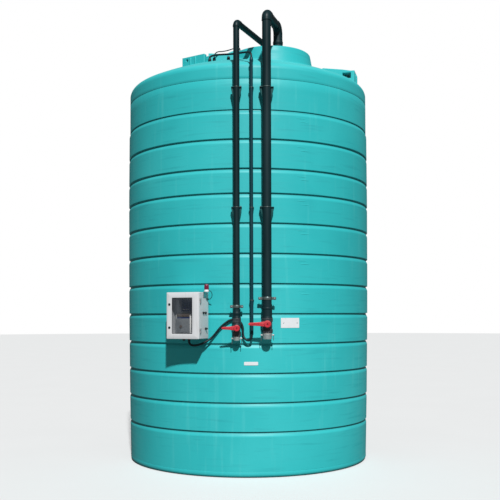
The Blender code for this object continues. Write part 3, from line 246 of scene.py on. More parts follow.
def groove_inset(height):
    """Inset of the grooves: a quarter ellipse over 4 mm at the lip, a floor of 10 mm at full depth,
    and below it a shoulder that rises over 42 mm with the power 1.6 of what is left."""
    offset = np.asarray(height, float)[..., None] - GROOVES - LIP_LEVEL
    above = 1.0 - np.clip(offset / LIP_RISE, 0.0, 1.0)
    below = 1.0 - np.clip((-offset - GROOVE_FLOOR) / SHOULDER_FALL, 0.0, 1.0)
    lip = 1.0 - np.sqrt(1.0 - above ** 2)
    shoulder = below ** 1.6
    return GROOVE_DEPTH * np.where(offset >= 0.0, lip, shoulder).sum(axis=-1)


def mould_swell(angle, height):
    """Slow waves of the cooled plastic, about 1.5 mm, from sines of the azimuth and the height."""
    wave = 0.8 * np.sin(3.0 * angle + 1.1 * height) + 0.6 * np.sin(7.0 * angle - 2.3 * height + 1.0)
    wave += 0.5 * np.sin(11.0 * angle + 5.1 * height + 2.0) + 0.4 * np.sin(2.0 * angle - 9.0 * height)
    return 0.0006 * wave


def vary_roughness(material, field, smooth, rough):
    """Let the roughness go from smooth to rough where a field goes from 0.3 to 0.7."""
    roughness = material.node_tree.nodes["Principled BSDF"].inputs["Roughness"]
    material.node_tree.links.new(between(material, field, 0.3, 0.7, smooth, rough), roughness)


def relief(material, field, strength, depth):
    """Add a field to the bump that the surface has so far."""
    nodes, links = material.node_tree.nodes, material.node_tree.links
    target = nodes["Principled BSDF"].inputs["Normal"]
    bump = nodes.new("ShaderNodeBump")
    bump.inputs["Strength"].default_value = strength
    bump.inputs["Distance"].default_value = depth
    if target.is_linked:
        links.new(target.links[0].from_socket, bump.inputs["Normal"])
    links.new(field, bump.inputs["Height"])
    links.new(bump.outputs["Normal"], target)


def facing_up(material):
    """How far the surface faces the sky, from -1 to 1."""
    nodes, links = material.node_tree.nodes, material.node_tree.links
    geometry = nodes.new("ShaderNodeNewGeometry")
    split = nodes.new("ShaderNodeSeparateXYZ")
    links.new(geometry.outputs["Normal"], split.inputs["Vector"])
    return split.outputs["Z"]


def tank_plastic():
    """Teal polyethylene: cloudy patches, fine level scuffs, rain runs, pale dust with painted sky light on
    upward faces, a waxy grain, and grime with painted groove shade where the mesh carries the value called
    grime."""
    material = even_material("tank_polyethylene", (0.023, 0.390, 0.405), 0.48, specular=0.28)
    patches = noise_field(material, 0.75, (1.0, 1.0, 0.8), 3.0, 0.4)
    stain(material, patches, 0.50, 0.75, 0.55, (0.045, 0.470, 0.480))
    stain(material, patches, 0.45, 0.25, 0.55, (0.012, 0.300, 0.325))
    scuffs = noise_field(material, 2.2, (1.0, 1.0, 16.0), 6.0, 0.2)
    stain(material, scuffs, 0.56, 0.78, 0.55, (0.012, 0.275, 0.300))
    runs = noise_field(material, 3.4, (5.0, 5.0, 0.35), 5.0, 0.1)
    stain(material, runs, 0.58, 0.80, 0.35, (0.090, 0.500, 0.500))
    # Pale dust and painted sky light: faces that look upwards turn lighter.
    stain(material, facing_up(material), 0.35, 1.0, 0.38, (0.130, 0.540, 0.540))
    # Painted shade, with some grime: the grooves darken where the mesh carries the value called grime.
    grime = material.node_tree.nodes.new("ShaderNodeAttribute")
    grime.attribute_name = "grime"
    stain(material, grime.outputs["Fac"], 0.05, 0.90, 0.36, (0.008, 0.175, 0.185))
    vary_roughness(material, scuffs, 0.42, 0.58)
    relief(material, noise_field(material, 5.0, detail=2.0), 0.12, 0.012)
    relief(material, noise_field(material, 160.0, detail=3.0), 0.10, 0.0012)
    return material


TANK_PLASTIC = tank_plastic()


def fit(piece, body, slot, *nodes):
    """Let a finished piece ride on its body and stand for its CAD nodes; the slot is not used."""
    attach(piece, body)
    if nodes:
        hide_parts(*nodes)
    return piece


near_groove = LIP_LEVEL + np.array([
    -0.056, -0.052, -0.048, -0.044, -0.039, -0.034, -0.029, -0.024, -0.019, -0.015, -0.012, -0.010,
    -0.005, 0.0, 0.0001, 0.0004, 0.0010, 0.0020, 0.0030, 0.0040, 0.007,
])
wall_heights = np.concatenate([
    np.linspace(WALL_BOTTOM, WALL_END, 42), (GROOVES[:, None] + near_groove).ravel(),
    [WALL_END - 0.0015, WALL_END - WALL_EDGE],
])
wall_heights = np.unique(np.round(wall_heights, 5))[::-1]
wall_angles = full_turn(WALL_COLUMNS)
top_rounding = WALL_EDGE * np.clip(1.0 - (WALL_END - wall_heights) / WALL_EDGE, 0.0, 1.0) ** 2
outer_skin = (wall_radius(wall_heights) - groove_inset(wall_heights) - top_rounding)[:, None]
outer_skin = outer_skin + mould_swell(wall_angles, wall_heights[:, None])
inner_heights = np.linspace(WALL_BOTTOM, WALL_END, 9)
inner_skin = (wall_radius(inner_heights) - WALL_THICKNESS)[:, None] + 0.0 * wall_angles
wall_levels = np.concatenate([wall_heights, inner_heights])[:, None]
wall_points = about_axis(np.concatenate([outer_skin, inner_skin]), wall_angles, wall_levels)
tank_wall = surface("wall_shell", wall_points, TANK_PLASTIC, wrap_rows=True, sharp=50.0)
fit(tank_wall, "tank", "tank_polyethylene", "tank_wall")


def shade_and_grime_grooves(piece):
    """Painted groove shade with grime, outside, by the share of the groove's depth: none up to 0.35, and all
    of it from 0.75.
    """
    spots = np.empty(3 * len(piece.data.vertices))
    piece.data.vertices.foreach_get("co", spots)
    height = spots.reshape(-1, 3)[:, 2]
    outside = np.hypot(spots[0::3], spots[1::3]) > wall_radius(height) - GROOVE_DEPTH - 0.0015
    depth = np.clip((groove_inset(height) / GROOVE_DEPTH - 0.35) / 0.40, 0.0, 1.0)
    grime = piece.data.attributes.new("grime", "FLOAT", "POINT")
    grime.data.foreach_set("value", depth * outside)


shade_and_grime_grooves(tank_wall)


# The level marks: pairs of short raised bars that the mould leaves below the fourth groove and each
# one above it, right of the fill line. They are the wall's own plastic, 1.6 mm proud.
MARK_LENGTH = 0.115
MARK_HEIGHT = 0.009
MARK_PROUD = 0.0016
MARK_ROOT = 0.002
MARK_PAIR = ((23.2, 0.068), (24.8, 0.104))


def mark_grid(azimuth, level):
    """A low bar on the wall: over its height it stands out by a half sine, which a quarter power of a
    sine brings down at both ends. Its root is 2 mm under the wall's face."""
    across = np.linspace(-0.5, 0.5, 9)[None, :]
    arch = np.linspace(0.0, np.pi, 7)[:, None]
    taper = np.sin(np.pi * (across + 0.5)) ** 0.25
    radius = wall_radius(level) - MARK_ROOT + (MARK_PROUD + MARK_ROOT) * np.sin(arch) * taper
    angle = math.radians(azimuth) + across * MARK_LENGTH / BASE_RADIUS
    return about_axis(radius, angle, level - MARK_HEIGHT / 2.0 * np.cos(arch))


mark_places = [(azimuth, groove - below) for groove in GROOVES[3:] for azimuth, below in MARK_PAIR]
for number, (azimuth, level) in enumerate(mark_places):
    grid = mark_grid(azimuth, level)
    mark = surface(f"level_mark_{number + 1:02d}", grid, TANK_PLASTIC, wrap_columns=False)
    fit(mark, "tank", "tank_polyethylene")


# The floor: moulded in one with the wall on the real tank, with a rounded bottom edge that
# takes the load.
PAN_RIM = 0.060
PAN_EDGE = 0.035
PAN_THICKNESS = 0.020
rim_radius = float(wall_radius(PAN_RIM))
pan_inside = [
    (0.0, PAN_THICKNESS), (rim_radius - WALL_THICKNESS - PAN_THICKNESS, PAN_THICKNESS),
    (rim_radius - WALL_THICKNESS, 2.0 * PAN_THICKNESS), (rim_radius - WALL_THICKNESS, PAN_RIM),
    (rim_radius - 0.003, PAN_RIM), (rim_radius - 0.0008, PAN_RIM - 0.0008), (rim_radius, PAN_RIM - 0.003),
]
edge_turn = np.linspace(0.0, np.pi / 2.0, 9)
edge_radius = rim_radius - PAN_EDGE + PAN_EDGE * np.cos(edge_turn)
pan_edge = np.stack([edge_radius, PAN_EDGE - PAN_EDGE * np.sin(edge_turn)], -1)
pan_profile = np.concatenate([pan_inside, pan_edge, [(0.0, 0.0)]])
tank_floor = surface("floor_pan", revolved(pan_profile, columns=WALL_COLUMNS), TANK_PLASTIC)
fit(tank_floor, "tank", "tank_polyethylene", "tank_floor")


# The roof: a shallow dome of 3.1 m radius with a rounded shoulder, moulded with the wall. A fine
# crease runs round where the mould's lid met its barrel.
DOME_RADIUS = 3.100
CROWN_HEIGHT = 4.545
SHOULDER_RADIUS = 0.085
ROOF_BOTTOM = 4.060
ROOF_THICKNESS = 0.016
DOME_CENTRE = CROWN_HEIGHT - DOME_RADIUS


def dome_height(x, y):
    """Height of the dome over a point: the sphere of 3.1 m radius with its crown at 4.545 m."""
    return DOME_CENTRE + np.sqrt(DOME_RADIUS ** 2 - np.asarray(x) ** 2 - np.asarray(y) ** 2)


def roof_profile(offset, dome_steps, corner_steps):
    """(Radius, height) from the crown down: an arc of the sphere, then the shoulder's arc, both
    moved outwards by offset."""
    corner_radius = TOP_BAND_RADIUS - SHOULDER_RADIUS
    rise = math.sqrt((DOME_RADIUS - SHOULDER_RADIUS) ** 2 - corner_radius ** 2)
    meet = math.atan2(corner_radius, rise)
    dome = np.linspace(0.0, meet, dome_steps)
    corner = np.linspace(meet, np.pi / 2.0, corner_steps)[1:]
    radius = np.concatenate([
        (DOME_RADIUS + offset) * np.sin(dome), corner_radius + (SHOULDER_RADIUS + offset) * np.sin(corner),
    ])
    height = np.concatenate([
        DOME_CENTRE + (DOME_RADIUS + offset) * np.cos(dome),
        DOME_CENTRE + rise + (SHOULDER_RADIUS + offset) * np.cos(corner),
    ])
    return np.stack([radius, height], -1)


roof_skirt = [
    (TOP_BAND_RADIUS, ROOF_BOTTOM + 0.03), (TOP_BAND_RADIUS, ROOF_BOTTOM + 0.004),
    (TOP_BAND_RADIUS - 0.0015, ROOF_BOTTOM + 0.0012), (TOP_BAND_RADIUS - 0.004, ROOF_BOTTOM),
    (TOP_BAND_RADIUS - ROOF_THICKNESS, ROOF_BOTTOM),
]
roof_inside = roof_profile(-ROOF_THICKNESS, 12, 6)[::-1]
roof_rows = np.concatenate([roof_profile(0.0, 44, 18), roof_skirt, roof_inside])
roof_points = revolved(roof_rows, columns=WALL_COLUMNS)
# The dome sags in slow waves, which fade to nothing at its crown and at its shoulder.
roof_radius, roof_height = roof_rows[:, :1], roof_rows[:, 1:]
fade = np.sin(np.pi * np.clip(roof_radius / TOP_BAND_RADIUS, 0.0, 1.0))
sag = 2.2 * mould_swell(full_turn(WALL_COLUMNS), 3.0 * roof_radius) * fade
roof_points[..., 2] += np.where(roof_height > ROOF_BOTTOM + 0.15, sag, 0.0)
tank_roof = surface("roof_dome", roof_points, TANK_PLASTIC, sharp=50.0)
fit(tank_roof, "tank", "tank_polyethylene", "tank_roof")


# The raised platform: a level moulded step on the front slope of the dome, where the pipes go
# in. Its wall leans a little, and its foot flares out into the dome.
PLATFORM_X = 0.256
PLATFORM_Y = -0.600
PLATFORM_TOP = 4.516
PLATFORM_RADIUS = 0.440
PLATFORM_FOOT = 0.462
PLATFORM_FLARE = 0.055
PLATFORM_EDGE = 0.020


def platform_grid(columns=160):
    """Rows down the step at each azimuth: flat top, rounded edge of 20 mm, leaning wall, then a flare
    whose sine blends the wall's foot into the dome's own height below it, and a hidden underside."""
    angle = full_turn(columns)
    edge = np.linspace(0.0, np.pi / 2.0, 7)
    edge_radius = PLATFORM_RADIUS - PLATFORM_EDGE + PLATFORM_EDGE * np.sin(edge)
    top_radius = np.concatenate([[0.0, 0.15, 0.30], edge_radius])
    top_drop = np.concatenate([[0.0, 0.0, 0.0], PLATFORM_EDGE * (1.0 - np.cos(edge))])
    top = np.stack([top_radius, PLATFORM_TOP - top_drop], -1)[:, None, :] + 0.0 * angle[..., None]
    share = np.linspace(0.0, 1.0, 8)[1:, None]
    far = PLATFORM_FOOT + PLATFORM_FLARE
    seat = dome_height(PLATFORM_X + far * np.sin(angle), PLATFORM_Y - far * np.cos(angle)) - 0.002
    foot_radius = PLATFORM_RADIUS + (PLATFORM_FOOT - PLATFORM_RADIUS) * (PLATFORM_TOP - seat) / 0.20
    foot_level = np.minimum(seat + 0.040, PLATFORM_TOP - 0.024)
    wall_level = (PLATFORM_TOP - PLATFORM_EDGE) + share * (foot_level - (PLATFORM_TOP - PLATFORM_EDGE))
    wall_radius_here = PLATFORM_RADIUS + share * (foot_radius - PLATFORM_RADIUS)
    wall = np.stack([wall_radius_here, wall_level], -1)
    bend = np.linspace(0.0, np.pi / 2.0, 8)[1:, None]
    flare_radius = foot_radius + (far - foot_radius) * (1.0 - np.cos(bend))
    flare_level = foot_level + (seat - foot_level) * np.sin(bend)
    flare = np.stack([flare_radius, flare_level], -1)
    middle = (PLATFORM_X, PLATFORM_Y)
    rows = np.concatenate([top, wall, flare])
    step = about_axis(rows[..., 0], angle, rows[..., 1], middle)
    under = about_axis(flare_radius[-1:] * np.array([[0.98], [0.5], [0.0]]), angle, 0.0, middle)
    under[..., 2] = dome_height(under[..., 0], under[..., 1]) - 0.010
    return np.concatenate([step, under])


platform = surface("roof_platform", platform_grid(), TANK_PLASTIC, sharp=50.0)
fit(platform, "tank", "tank_polyethylene", "roof_turret")


# The lifting lugs: three solid moulded blocks that run out to the shoulder of the dome, with two
# ribs down the end and a small drain hole. The small one has an open sling notch behind its end
# post, and the two larger ones a closed eye.
LUGS = (
    # Side, azimuth, inner reach, outer reach, top level, and depth of the notch or the eye.
    ("left", -33.5, 0.760, 1.070, 4.446, 0.040),
    ("right", 76.0, 0.870, 1.285, 4.420, 0.085),
    ("rear", 196.0, 0.870, 1.285, 4.420, 0.085),
)
LUG_WIDTH = 0.300
LUG_POST = 0.042
LUG_NOTCH = 0.095
LUG_EYE_BAR = 0.022
LUG_RISE = math.tan(math.radians(8.0))
DRAIN_SIDE = -0.085
DRAIN_DROP = 0.036
DRAIN_RADIUS = 0.013
LUG_RIB_RADIUS = 0.011


def turned_out(points, azimuth):
    """Turn points given as (outwards, sideways, up) about the tank's axis to an azimuth."""
    angle = math.radians(azimuth)
    outwards, sideways, up = points[..., 0], points[..., 1], points[..., 2]
    x = outwards * math.sin(angle) + sideways * math.cos(angle)
    y = -outwards * math.cos(angle) + sideways * math.sin(angle)
    return np.stack([x, y, up], -1)


def prism(name, outline, half_width, place, material):
    """A flat outline carried straight across its width, with both ends closed. Place is the function
    that sets points given as (along, across, up) on the tank."""
    outline = np.asarray(outline, float)
    count = len(outline)
    side = np.stack([outline[:, 0], np.full(count, -half_width), outline[:, 1]], -1)
    other = side * np.array([1.0, -1.0, 1.0])
    points = place(np.concatenate([side, other]))
    corner = np.arange(count)
    follow = (corner + 1) % count
    quads = np.stack([corner, follow, follow + count, corner + count], -1).tolist()
    ends = [corner[::-1].tolist(), (corner + count).tolist()]
    return closed_piece(name, points, quads + ends, material, 60.0)


def round_edges(piece, width):
    """Round the edges of a piece with flat faces, and shade the rest of it smooth."""
    bevel = piece.modifiers.new("rounding", "BEVEL")
    bevel.width = width
    bevel.segments = 3
    bevel.limit_method = "ANGLE"
    bevel.angle_limit = math.radians(28.0)
    shade(piece.data, 60.0)


def carve(piece, cutter):
    """Cut a closed piece out of another for good, and drop the cutter."""
    modifier = piece.modifiers.new("carve", "BOOLEAN")
    modifier.operation = "DIFFERENCE"
    modifier.solver = "EXACT"
    modifier.object = cutter
    bpy.context.view_layer.update()
    mesh = bpy.data.meshes.new_from_object(piece.evaluated_get(bpy.context.evaluated_depsgraph_get()))
    piece.modifiers.clear()
    piece.data = mesh
    bpy.data.objects.remove(cutter, do_unlink=True)


def square_to(along):
    """Two directions square to a direction and to each other, from a vector that no piece follows."""
    side = np.cross(along, [0.31, 0.17, 0.93])
    side = side / np.linalg.norm(side)
    return side, np.cross(along, side)


def bar(name, start, end, radius, material, columns=24, round_end=0.0):
    """A round bar between two points: rings of one radius, rounded at both ends over round_end."""
    start, end = np.asarray(start, float), np.asarray(end, float)
    along = end - start
    length = np.linalg.norm(along)
    along = along / length
    across, over = square_to(along)
    turn = np.linspace(0.0, np.pi / 2.0, 5) if round_end > 0.0 else np.array([np.pi / 2.0])
    ring = radius - round_end * (1.0 - np.sin(turn))
    level = round_end * (1.0 - np.cos(turn))
    radii = np.concatenate([[0.0], ring, ring[::-1], [0.0]])[:, None, None]
    levels = np.concatenate([[0.0], level, length - level[::-1], [length]])[:, None, None]
    angle = full_turn(columns)[..., None]
    points = start + along * levels + radii * (np.cos(angle) * across + np.sin(angle) * over)
    return surface(name, points, material)


for side_name, azimuth, inner, outer, top, notch in LUGS:
    place = partial(turned_out, azimuth=azimuth)
    post_in = outer - LUG_POST
    notch_in = post_in - LUG_NOTCH
    seat_radii = np.linspace(inner, outer, 8)
    seat_levels = dome_height(seat_radii, 0.15) - 0.014
    seat_levels[-1] = min(seat_levels[-1], 4.240)
    outline = [(r, z) for r, z in zip(seat_radii, seat_levels)] + [(outer, top), (post_in, top)]
    if side_name == "left":
        outline += [(post_in, top - notch), (notch_in, top - notch + LUG_NOTCH * LUG_RISE)]
    outline += [
        (notch_in, top + (outer - notch_in) * LUG_RISE),
        (inner + 0.05, top + (outer - inner - 0.05) * LUG_RISE),
    ]
    lug = prism(f"lifting_lug_{side_name}", outline, LUG_WIDTH / 2.0, place, TANK_PLASTIC)
    hole = place(np.array([(outer + reach, DRAIN_SIDE, top - DRAIN_DROP) for reach in (-0.03, 0.03)]))
    carve(lug, bar("drain_hole", *hole, DRAIN_RADIUS, TANK_PLASTIC, columns=20))
    if side_name != "left":
        eye_low, eye_high = top - notch, top - LUG_EYE_BAR
        eye = [(notch_in, eye_low), (post_in, eye_low), (post_in, eye_high), (notch_in, eye_high)]
        carve(lug, prism("lug_eye", eye, LUG_WIDTH, place, TANK_PLASTIC))
    round_edges(lug, 0.006)
    fit(lug, "tank", "tank_polyethylene", f"lifting_lug_{side_name}")
    for number, sideways in enumerate((-0.035, 0.030)):
        foot = max(float(dome_height(outer, sideways)), 4.26) - 0.012
        ends = place(np.array([(outer - 0.001, sideways, level) for level in (foot, top - 0.012)]))
        rib_name = f"lug_rib_{side_name}_{number + 1}"
        rib = bar(rib_name, *ends, LUG_RIB_RADIUS, TANK_PLASTIC, columns=16, round_end=0.008)
        fit(rib, "tank", "tank_polyethylene")


# The bridge: a low ridge from the small lug to the platform, moulded with the dome. It rises nearly
# to the platform's height at its far end.
BRIDGE_START = np.array([-0.500, -0.928, 0.0])
BRIDGE_END = np.array([-0.060, -0.860, 0.0])
BRIDGE_HALF_WIDE = 0.065
BRIDGE_FOOT = 4.360
BRIDGE_LOW = 4.470
BRIDGE_HIGH = 4.511
UP = np.array([0.0, 0.0, 1.0])
bridge_length = np.linalg.norm(BRIDGE_END - BRIDGE_START)
bridge_heading = (BRIDGE_END - BRIDGE_START) / bridge_length
bridge_back = np.array([-bridge_heading[1], bridge_heading[0], 0.0])


def along_bridge(points):
    """Turn points given as (along, sideways from the middle, up) to the bridge's place on the dome."""
    along, across, high = points[..., :1], points[..., 1:2] + BRIDGE_HALF_WIDE, points[..., 2:]
    return BRIDGE_START + along * bridge_heading + across * bridge_back + high * UP


bridge_rise = bridge_length - 0.200 + 0.120 * np.linspace(0.0, 1.0, 9)
bridge_crown = BRIDGE_LOW + (BRIDGE_HIGH - BRIDGE_LOW) * (0.5 - 0.5 * np.cos(np.linspace(0.0, np.pi, 9)))
bridge_outline = [(0.0, BRIDGE_FOOT), (bridge_length, BRIDGE_FOOT), (bridge_length, BRIDGE_HIGH)]
bridge_outline += list(zip(bridge_rise[::-1], bridge_crown[::-1])) + [(0.0, BRIDGE_LOW)]
bridge = prism("roof_bridge", bridge_outline, BRIDGE_HALF_WIDE, along_bridge, TANK_PLASTIC)
# The small lug's own room is cut out of the ridge, a tenth of a millimetre wider than the lug.
lug_room = [(0.55, 4.2), (1.15, 4.2), (1.15, 4.7), (0.55, 4.7)]
beside_lug = partial(turned_out, azimuth=LUGS[0][1])
carve(bridge, prism("lug_clearance", lug_room, LUG_WIDTH / 2.0 + 0.0001, beside_lug, TANK_PLASTIC))
round_edges(bridge, 0.009)
fit(bridge, "tank", "tank_polyethylene")


# The two pipe lines: a 90 mm fill riser and a 63 mm draw-off riser of black polyethylene pressure
# pipe, each with a fused elbow at the top, a level run and a drop elbow on the platform.
PIPE_Y = -1.465
FILL_X = 0.1895
DRAW_X = -0.1165
FILL_RADIUS = 0.045
DRAW_RADIUS = 0.0315


def pipe_plastic(name, colour):
    """Black-blue pipe: dust along its length, long drawing scratches and a dull extruded sheen."""
    material = even_material(name, colour, 0.45, specular=0.17)
    dust = noise_field(material, 5.0, (1.0, 1.0, 0.25), 4.0)
    stain(material, dust, 0.45, 0.80, 0.35, (0.014, 0.042, 0.050))
    scratches = noise_field(material, 40.0, (2.0, 2.0, 0.06), 3.0)
    stain(material, scratches, 0.62, 0.78, 0.30, (0.034, 0.060, 0.068))
    vary_roughness(material, dust, 0.36, 0.55)
    relief(material, scratches, 0.10, 0.0008)
    return material


# The teal in the pipe's near-black colour is painted reflection of the teal tank.
PIPE_PLASTIC = pipe_plastic("pipe_polyethylene", (0.003, 0.015, 0.018))


def swept(name, path, radius, material, across, columns=40):
    """A tube along a path in one plane: each ring stands square to the path, with closed ends.
    The radius is one number or one per path point, and across is the direction square to the plane."""
    path = np.asarray(path, float)
    tangent = np.gradient(path, axis=0)
    tangent = tangent / np.linalg.norm(tangent, axis=1, keepdims=True)
    across = np.asarray(across, float) / np.linalg.norm(across)
    over = np.cross(tangent, across)
    over = over / np.linalg.norm(over, axis=1, keepdims=True)
    radius = np.broadcast_to(np.asarray(radius, float), (len(path),))
    angle = full_turn(columns)[..., None]
    ring = np.cos(angle) * across + np.sin(angle) * over[:, None, :]
    rings = path[:, None, :] + radius[:, None, None] * ring
    ends = np.repeat(path[[0, -1], None, :], columns, axis=1)
    return surface(name, np.concatenate([ends[:1], rings, ends[1:]]), material)


def elbow_path(corner, before, after, bend, leg_in, leg_out, steps=16):
    """Straight in, an arc of radius bend between the two directions, and straight out. The legs are
    measured from the corner."""
    corner, before, after = (np.asarray(v, float) for v in (corner, before, after))
    turned = math.acos(float(before @ after))
    reach = bend * math.tan(turned / 2.0)
    inward = after - before * (before @ after)
    inward = inward / np.linalg.norm(inward)
    turn = np.linspace(0.0, turned, steps)[:, None]
    centre = corner - before * reach + inward * bend
    arc = centre - inward * bend * np.cos(turn) + before * bend * np.sin(turn)
    start = corner - before * np.linspace(leg_in, reach * 1.05, 4)[:, None]
    end = corner + after * np.linspace(reach * 1.05, leg_out, 4)[:, None]
    return np.concatenate([start, arc, end])


def socket_swell(path, radius, rim, reach):
    """Elbow radius along the path: thicker by rim within reach of each end, over a slope of 4 mm."""
    gone = np.concatenate([[0.0], np.cumsum(np.linalg.norm(np.diff(path, axis=0), axis=1))])
    near = np.minimum(gone, gone[-1] - gone)
    return radius + rim * np.clip((reach - near) / 0.004 + 1.0, 0.0, 1.0)


PIPE_LINES = (
    # Name, place across, pipe radius, elbow radius, level of the top run, place where it drops in, rise
    # of the run to there, bend of the drop elbow over its radius, and levels where the riser starts and
    # where it enters the top elbow.
    ("fill", FILL_X, FILL_RADIUS, 0.0490, 4.6985, (0.324, -0.955), 0.035, 1.60, 1.755, 4.624),
    ("draw", DRAW_X, DRAW_RADIUS, 0.0345, 4.6090, (0.198, -0.732), 0.0, 1.25, 1.705, 4.560),
)
for line_name, x, pipe, elbow, level, drop, rise, wide_bend, foot, socket in PIPE_LINES:
    low, high = foot - 0.010, socket + 0.020
    riser_profile = [(0.0, low), (pipe, low), (pipe, high), (0.0, high)]
    riser = surface(f"{line_name}_riser_pipe", revolved(riser_profile, (x, PIPE_Y), 48), PIPE_PLASTIC)
    fit(riser, "tank", "pipe_polyethylene", f"{line_name}_riser")
    top = np.array([x, PIPE_Y, level])
    end = np.array([drop[0], drop[1], level + rise])
    run = (end - top) / np.linalg.norm(end - top)
    side = np.cross(run, UP)
    bend, drop_bend = elbow * 1.25, elbow * wide_bend
    first = elbow_path(top, UP, run, bend, level - socket, bend + 0.030)
    swell = socket_swell(first, elbow, 0.0010, 0.012)
    first_elbow = swept(f"{line_name}_top_elbow", first, swell, PIPE_PLASTIC, side)
    fit(first_elbow, "tank", "pipe_polyethylene", f"{line_name}_crossover")
    collar_top = min(PLATFORM_TOP + 0.070, end[2] - drop_bend - 0.010)
    second = elbow_path(end, run, -UP, drop_bend, drop_bend + 0.030, end[2] - collar_top)
    swell = socket_swell(second, elbow, 0.0010, 0.010)
    fit(swept(f"{line_name}_drop_elbow", second, swell, PIPE_PLASTIC, side), "tank", "pipe_polyethylene")
    reach = np.linspace(bend + 0.020, np.linalg.norm(end - top) - drop_bend - 0.020, 12)[:, None]
    level_run = swept(f"{line_name}_level_pipe", top + run * reach, pipe, PIPE_PLASTIC, side)
    fit(level_run, "tank", "pipe_polyethylene")
    rim, skirt, waist = elbow * 1.10, elbow * 1.10 * 1.04, elbow * 0.98
    # The levels of the collar's profile are shares of its height above the platform.
    collar_profile = np.array([
        (0.0, 1.0), (elbow * 0.99, 1.0), (elbow, 0.99), (rim - 0.002, 0.86), (rim, 0.80), (rim, 0.50),
        (rim - 0.002, 0.44), (waist, 0.38), (waist, 0.30), (skirt - 0.002, 0.22), (skirt, 0.17), (skirt, 0.0),
        (0.0, 0.0),
    ])
    tall = collar_top - PLATFORM_TOP - 0.0006
    collar_profile[:, 1] = PLATFORM_TOP + 0.0003 + collar_profile[:, 1] * tall
    collar_grid = revolved(collar_profile, drop, 48)
    collar = surface(f"{line_name}_platform_collar", collar_grid, PIPE_PLASTIC, sharp=30.0)
    fit(collar, "tank", "pipe_polyethylene", f"{line_name}_inlet_collar")


# The fused couplings at the foot of each riser: a thick electrofusion sleeve of the same plastic,
# with one raised rim near its top and one at its foot.
for line_name, x, low, high, radius in (
    ("fill", FILL_X, 1.615, 1.755, 0.049), ("draw", DRAW_X, 1.615, 1.705, 0.039),
):
    rim = radius * 1.07
    edge = rim - 0.0006
    profile = [
        (0.0, high), (radius - 0.003, high), (radius, high - 0.003), (radius, high - 0.033),
        (edge, high - 0.037), (rim, high - 0.040), (rim, high - 0.050), (edge, high - 0.053),
        (radius, high - 0.057), (radius, low + 0.014), (edge, low + 0.010), (rim, low + 0.007), (rim, low),
        (0.0, low),
    ]
    coupling_grid = revolved(profile, (x, PIPE_Y), 48)
    coupling = surface(f"{line_name}_fused_coupling", coupling_grid, PIPE_PLASTIC, sharp=30.0)
    fit(coupling, "tank", "pipe_polyethylene")


# The cable conduit: a 32 mm pipe of a bluer black plastic, with a tapered sleeve on its top where
# the roof cable comes out.
CONDUIT_X = 0.035
CONDUIT_Y = -1.450
CONDUIT_RADIUS = 0.016
CONDUIT_FOOT = 1.4460
SLEEVE_TOP = 4.2570
SLEEVE_RADIUS = 0.0192
conduit_profile = [
    (0.0, SLEEVE_TOP), (0.0130, SLEEVE_TOP), (0.0145, SLEEVE_TOP - 0.0030), (0.0180, SLEEVE_TOP - 0.0210),
    (SLEEVE_RADIUS, SLEEVE_TOP - 0.0250), (SLEEVE_RADIUS, SLEEVE_TOP - 0.0440),
    (SLEEVE_RADIUS - 0.0010, SLEEVE_TOP - 0.0470), (CONDUIT_RADIUS, SLEEVE_TOP - 0.0475),
    (CONDUIT_RADIUS, 3.2), (CONDUIT_RADIUS, 2.2), (CONDUIT_RADIUS, CONDUIT_FOOT + 0.0012),
    (CONDUIT_RADIUS - 0.0012, CONDUIT_FOOT), (0.0, CONDUIT_FOOT),
]
conduit_plastic = pipe_plastic("conduit_plastic", (0.004, 0.034, 0.046))
conduit_grid = revolved(conduit_profile, (CONDUIT_X, CONDUIT_Y), 32)
conduit = surface("conduit_pipe", conduit_grid, conduit_plastic, sharp=35.0)
fit(conduit, "tank", "pipe_polyethylene", "cable_conduit")


# The pipe clips: a moulded saddle behind the pipe, which narrows downwards on a foot welded to the
# tank wall, and a steel strap that holds the pipe in it. The saddle is coloured the dark teal of the
# tank in shade, a painted shadow, with painted sunlight on its upper faces. One bolt pulls the strap
# of a riser's clip tight.
def rounded_rings(rows, corner_steps=5):
    """Rounded rectangles: a row gives half width, half height, corner radius and level. A point is
    its corner's centre plus the corner radius times cosine and sine."""
    rows = np.asarray(rows, float)
    turn = np.linspace(0.0, np.pi / 2.0, corner_steps + 1)
    angle = (np.arange(4)[:, None] * np.pi / 2.0 + turn).ravel()
    right = np.repeat([1.0, -1.0, -1.0, 1.0], corner_steps + 1)
    high = np.repeat([1.0, 1.0, -1.0, -1.0], corner_steps + 1)
    wide, tall, corner, level = (rows[:, [column]] for column in range(4))
    across = right * (wide - corner) + corner * np.cos(angle)
    upward = high * (tall - corner) + corner * np.sin(angle)
    return np.stack([across, upward, level + 0.0 * across], -1)


def block_rows(wide, tall, low, high, corner, edge, steps=3):
    """Rows of a closed block of half width wide and half height tall: both ends are rounded over a
    quarter circle of radius edge."""
    turn = np.linspace(0.0, np.pi / 2.0, steps + 1)
    inset = edge * (1.0 - np.sin(turn))
    rise = edge * (1.0 - np.cos(turn))
    insets = np.concatenate([inset, inset[::-1]])
    levels = np.concatenate([low + rise, high - rise[::-1]])
    corners = np.maximum(corner - insets, 0.0002)
    rings = np.stack([wide - insets, tall - insets, corners, levels], -1)
    return np.concatenate([[[0.0, 0.0, 0.0, low]], rings, [[0.0, 0.0, 0.0, high]]])


def set_in(points, origin, right, high, out):
    """Place points given as (right, high, out) in a frame of three directions."""
    axes = np.array([right, high, out], float)
    return np.asarray(origin, float) + points @ axes


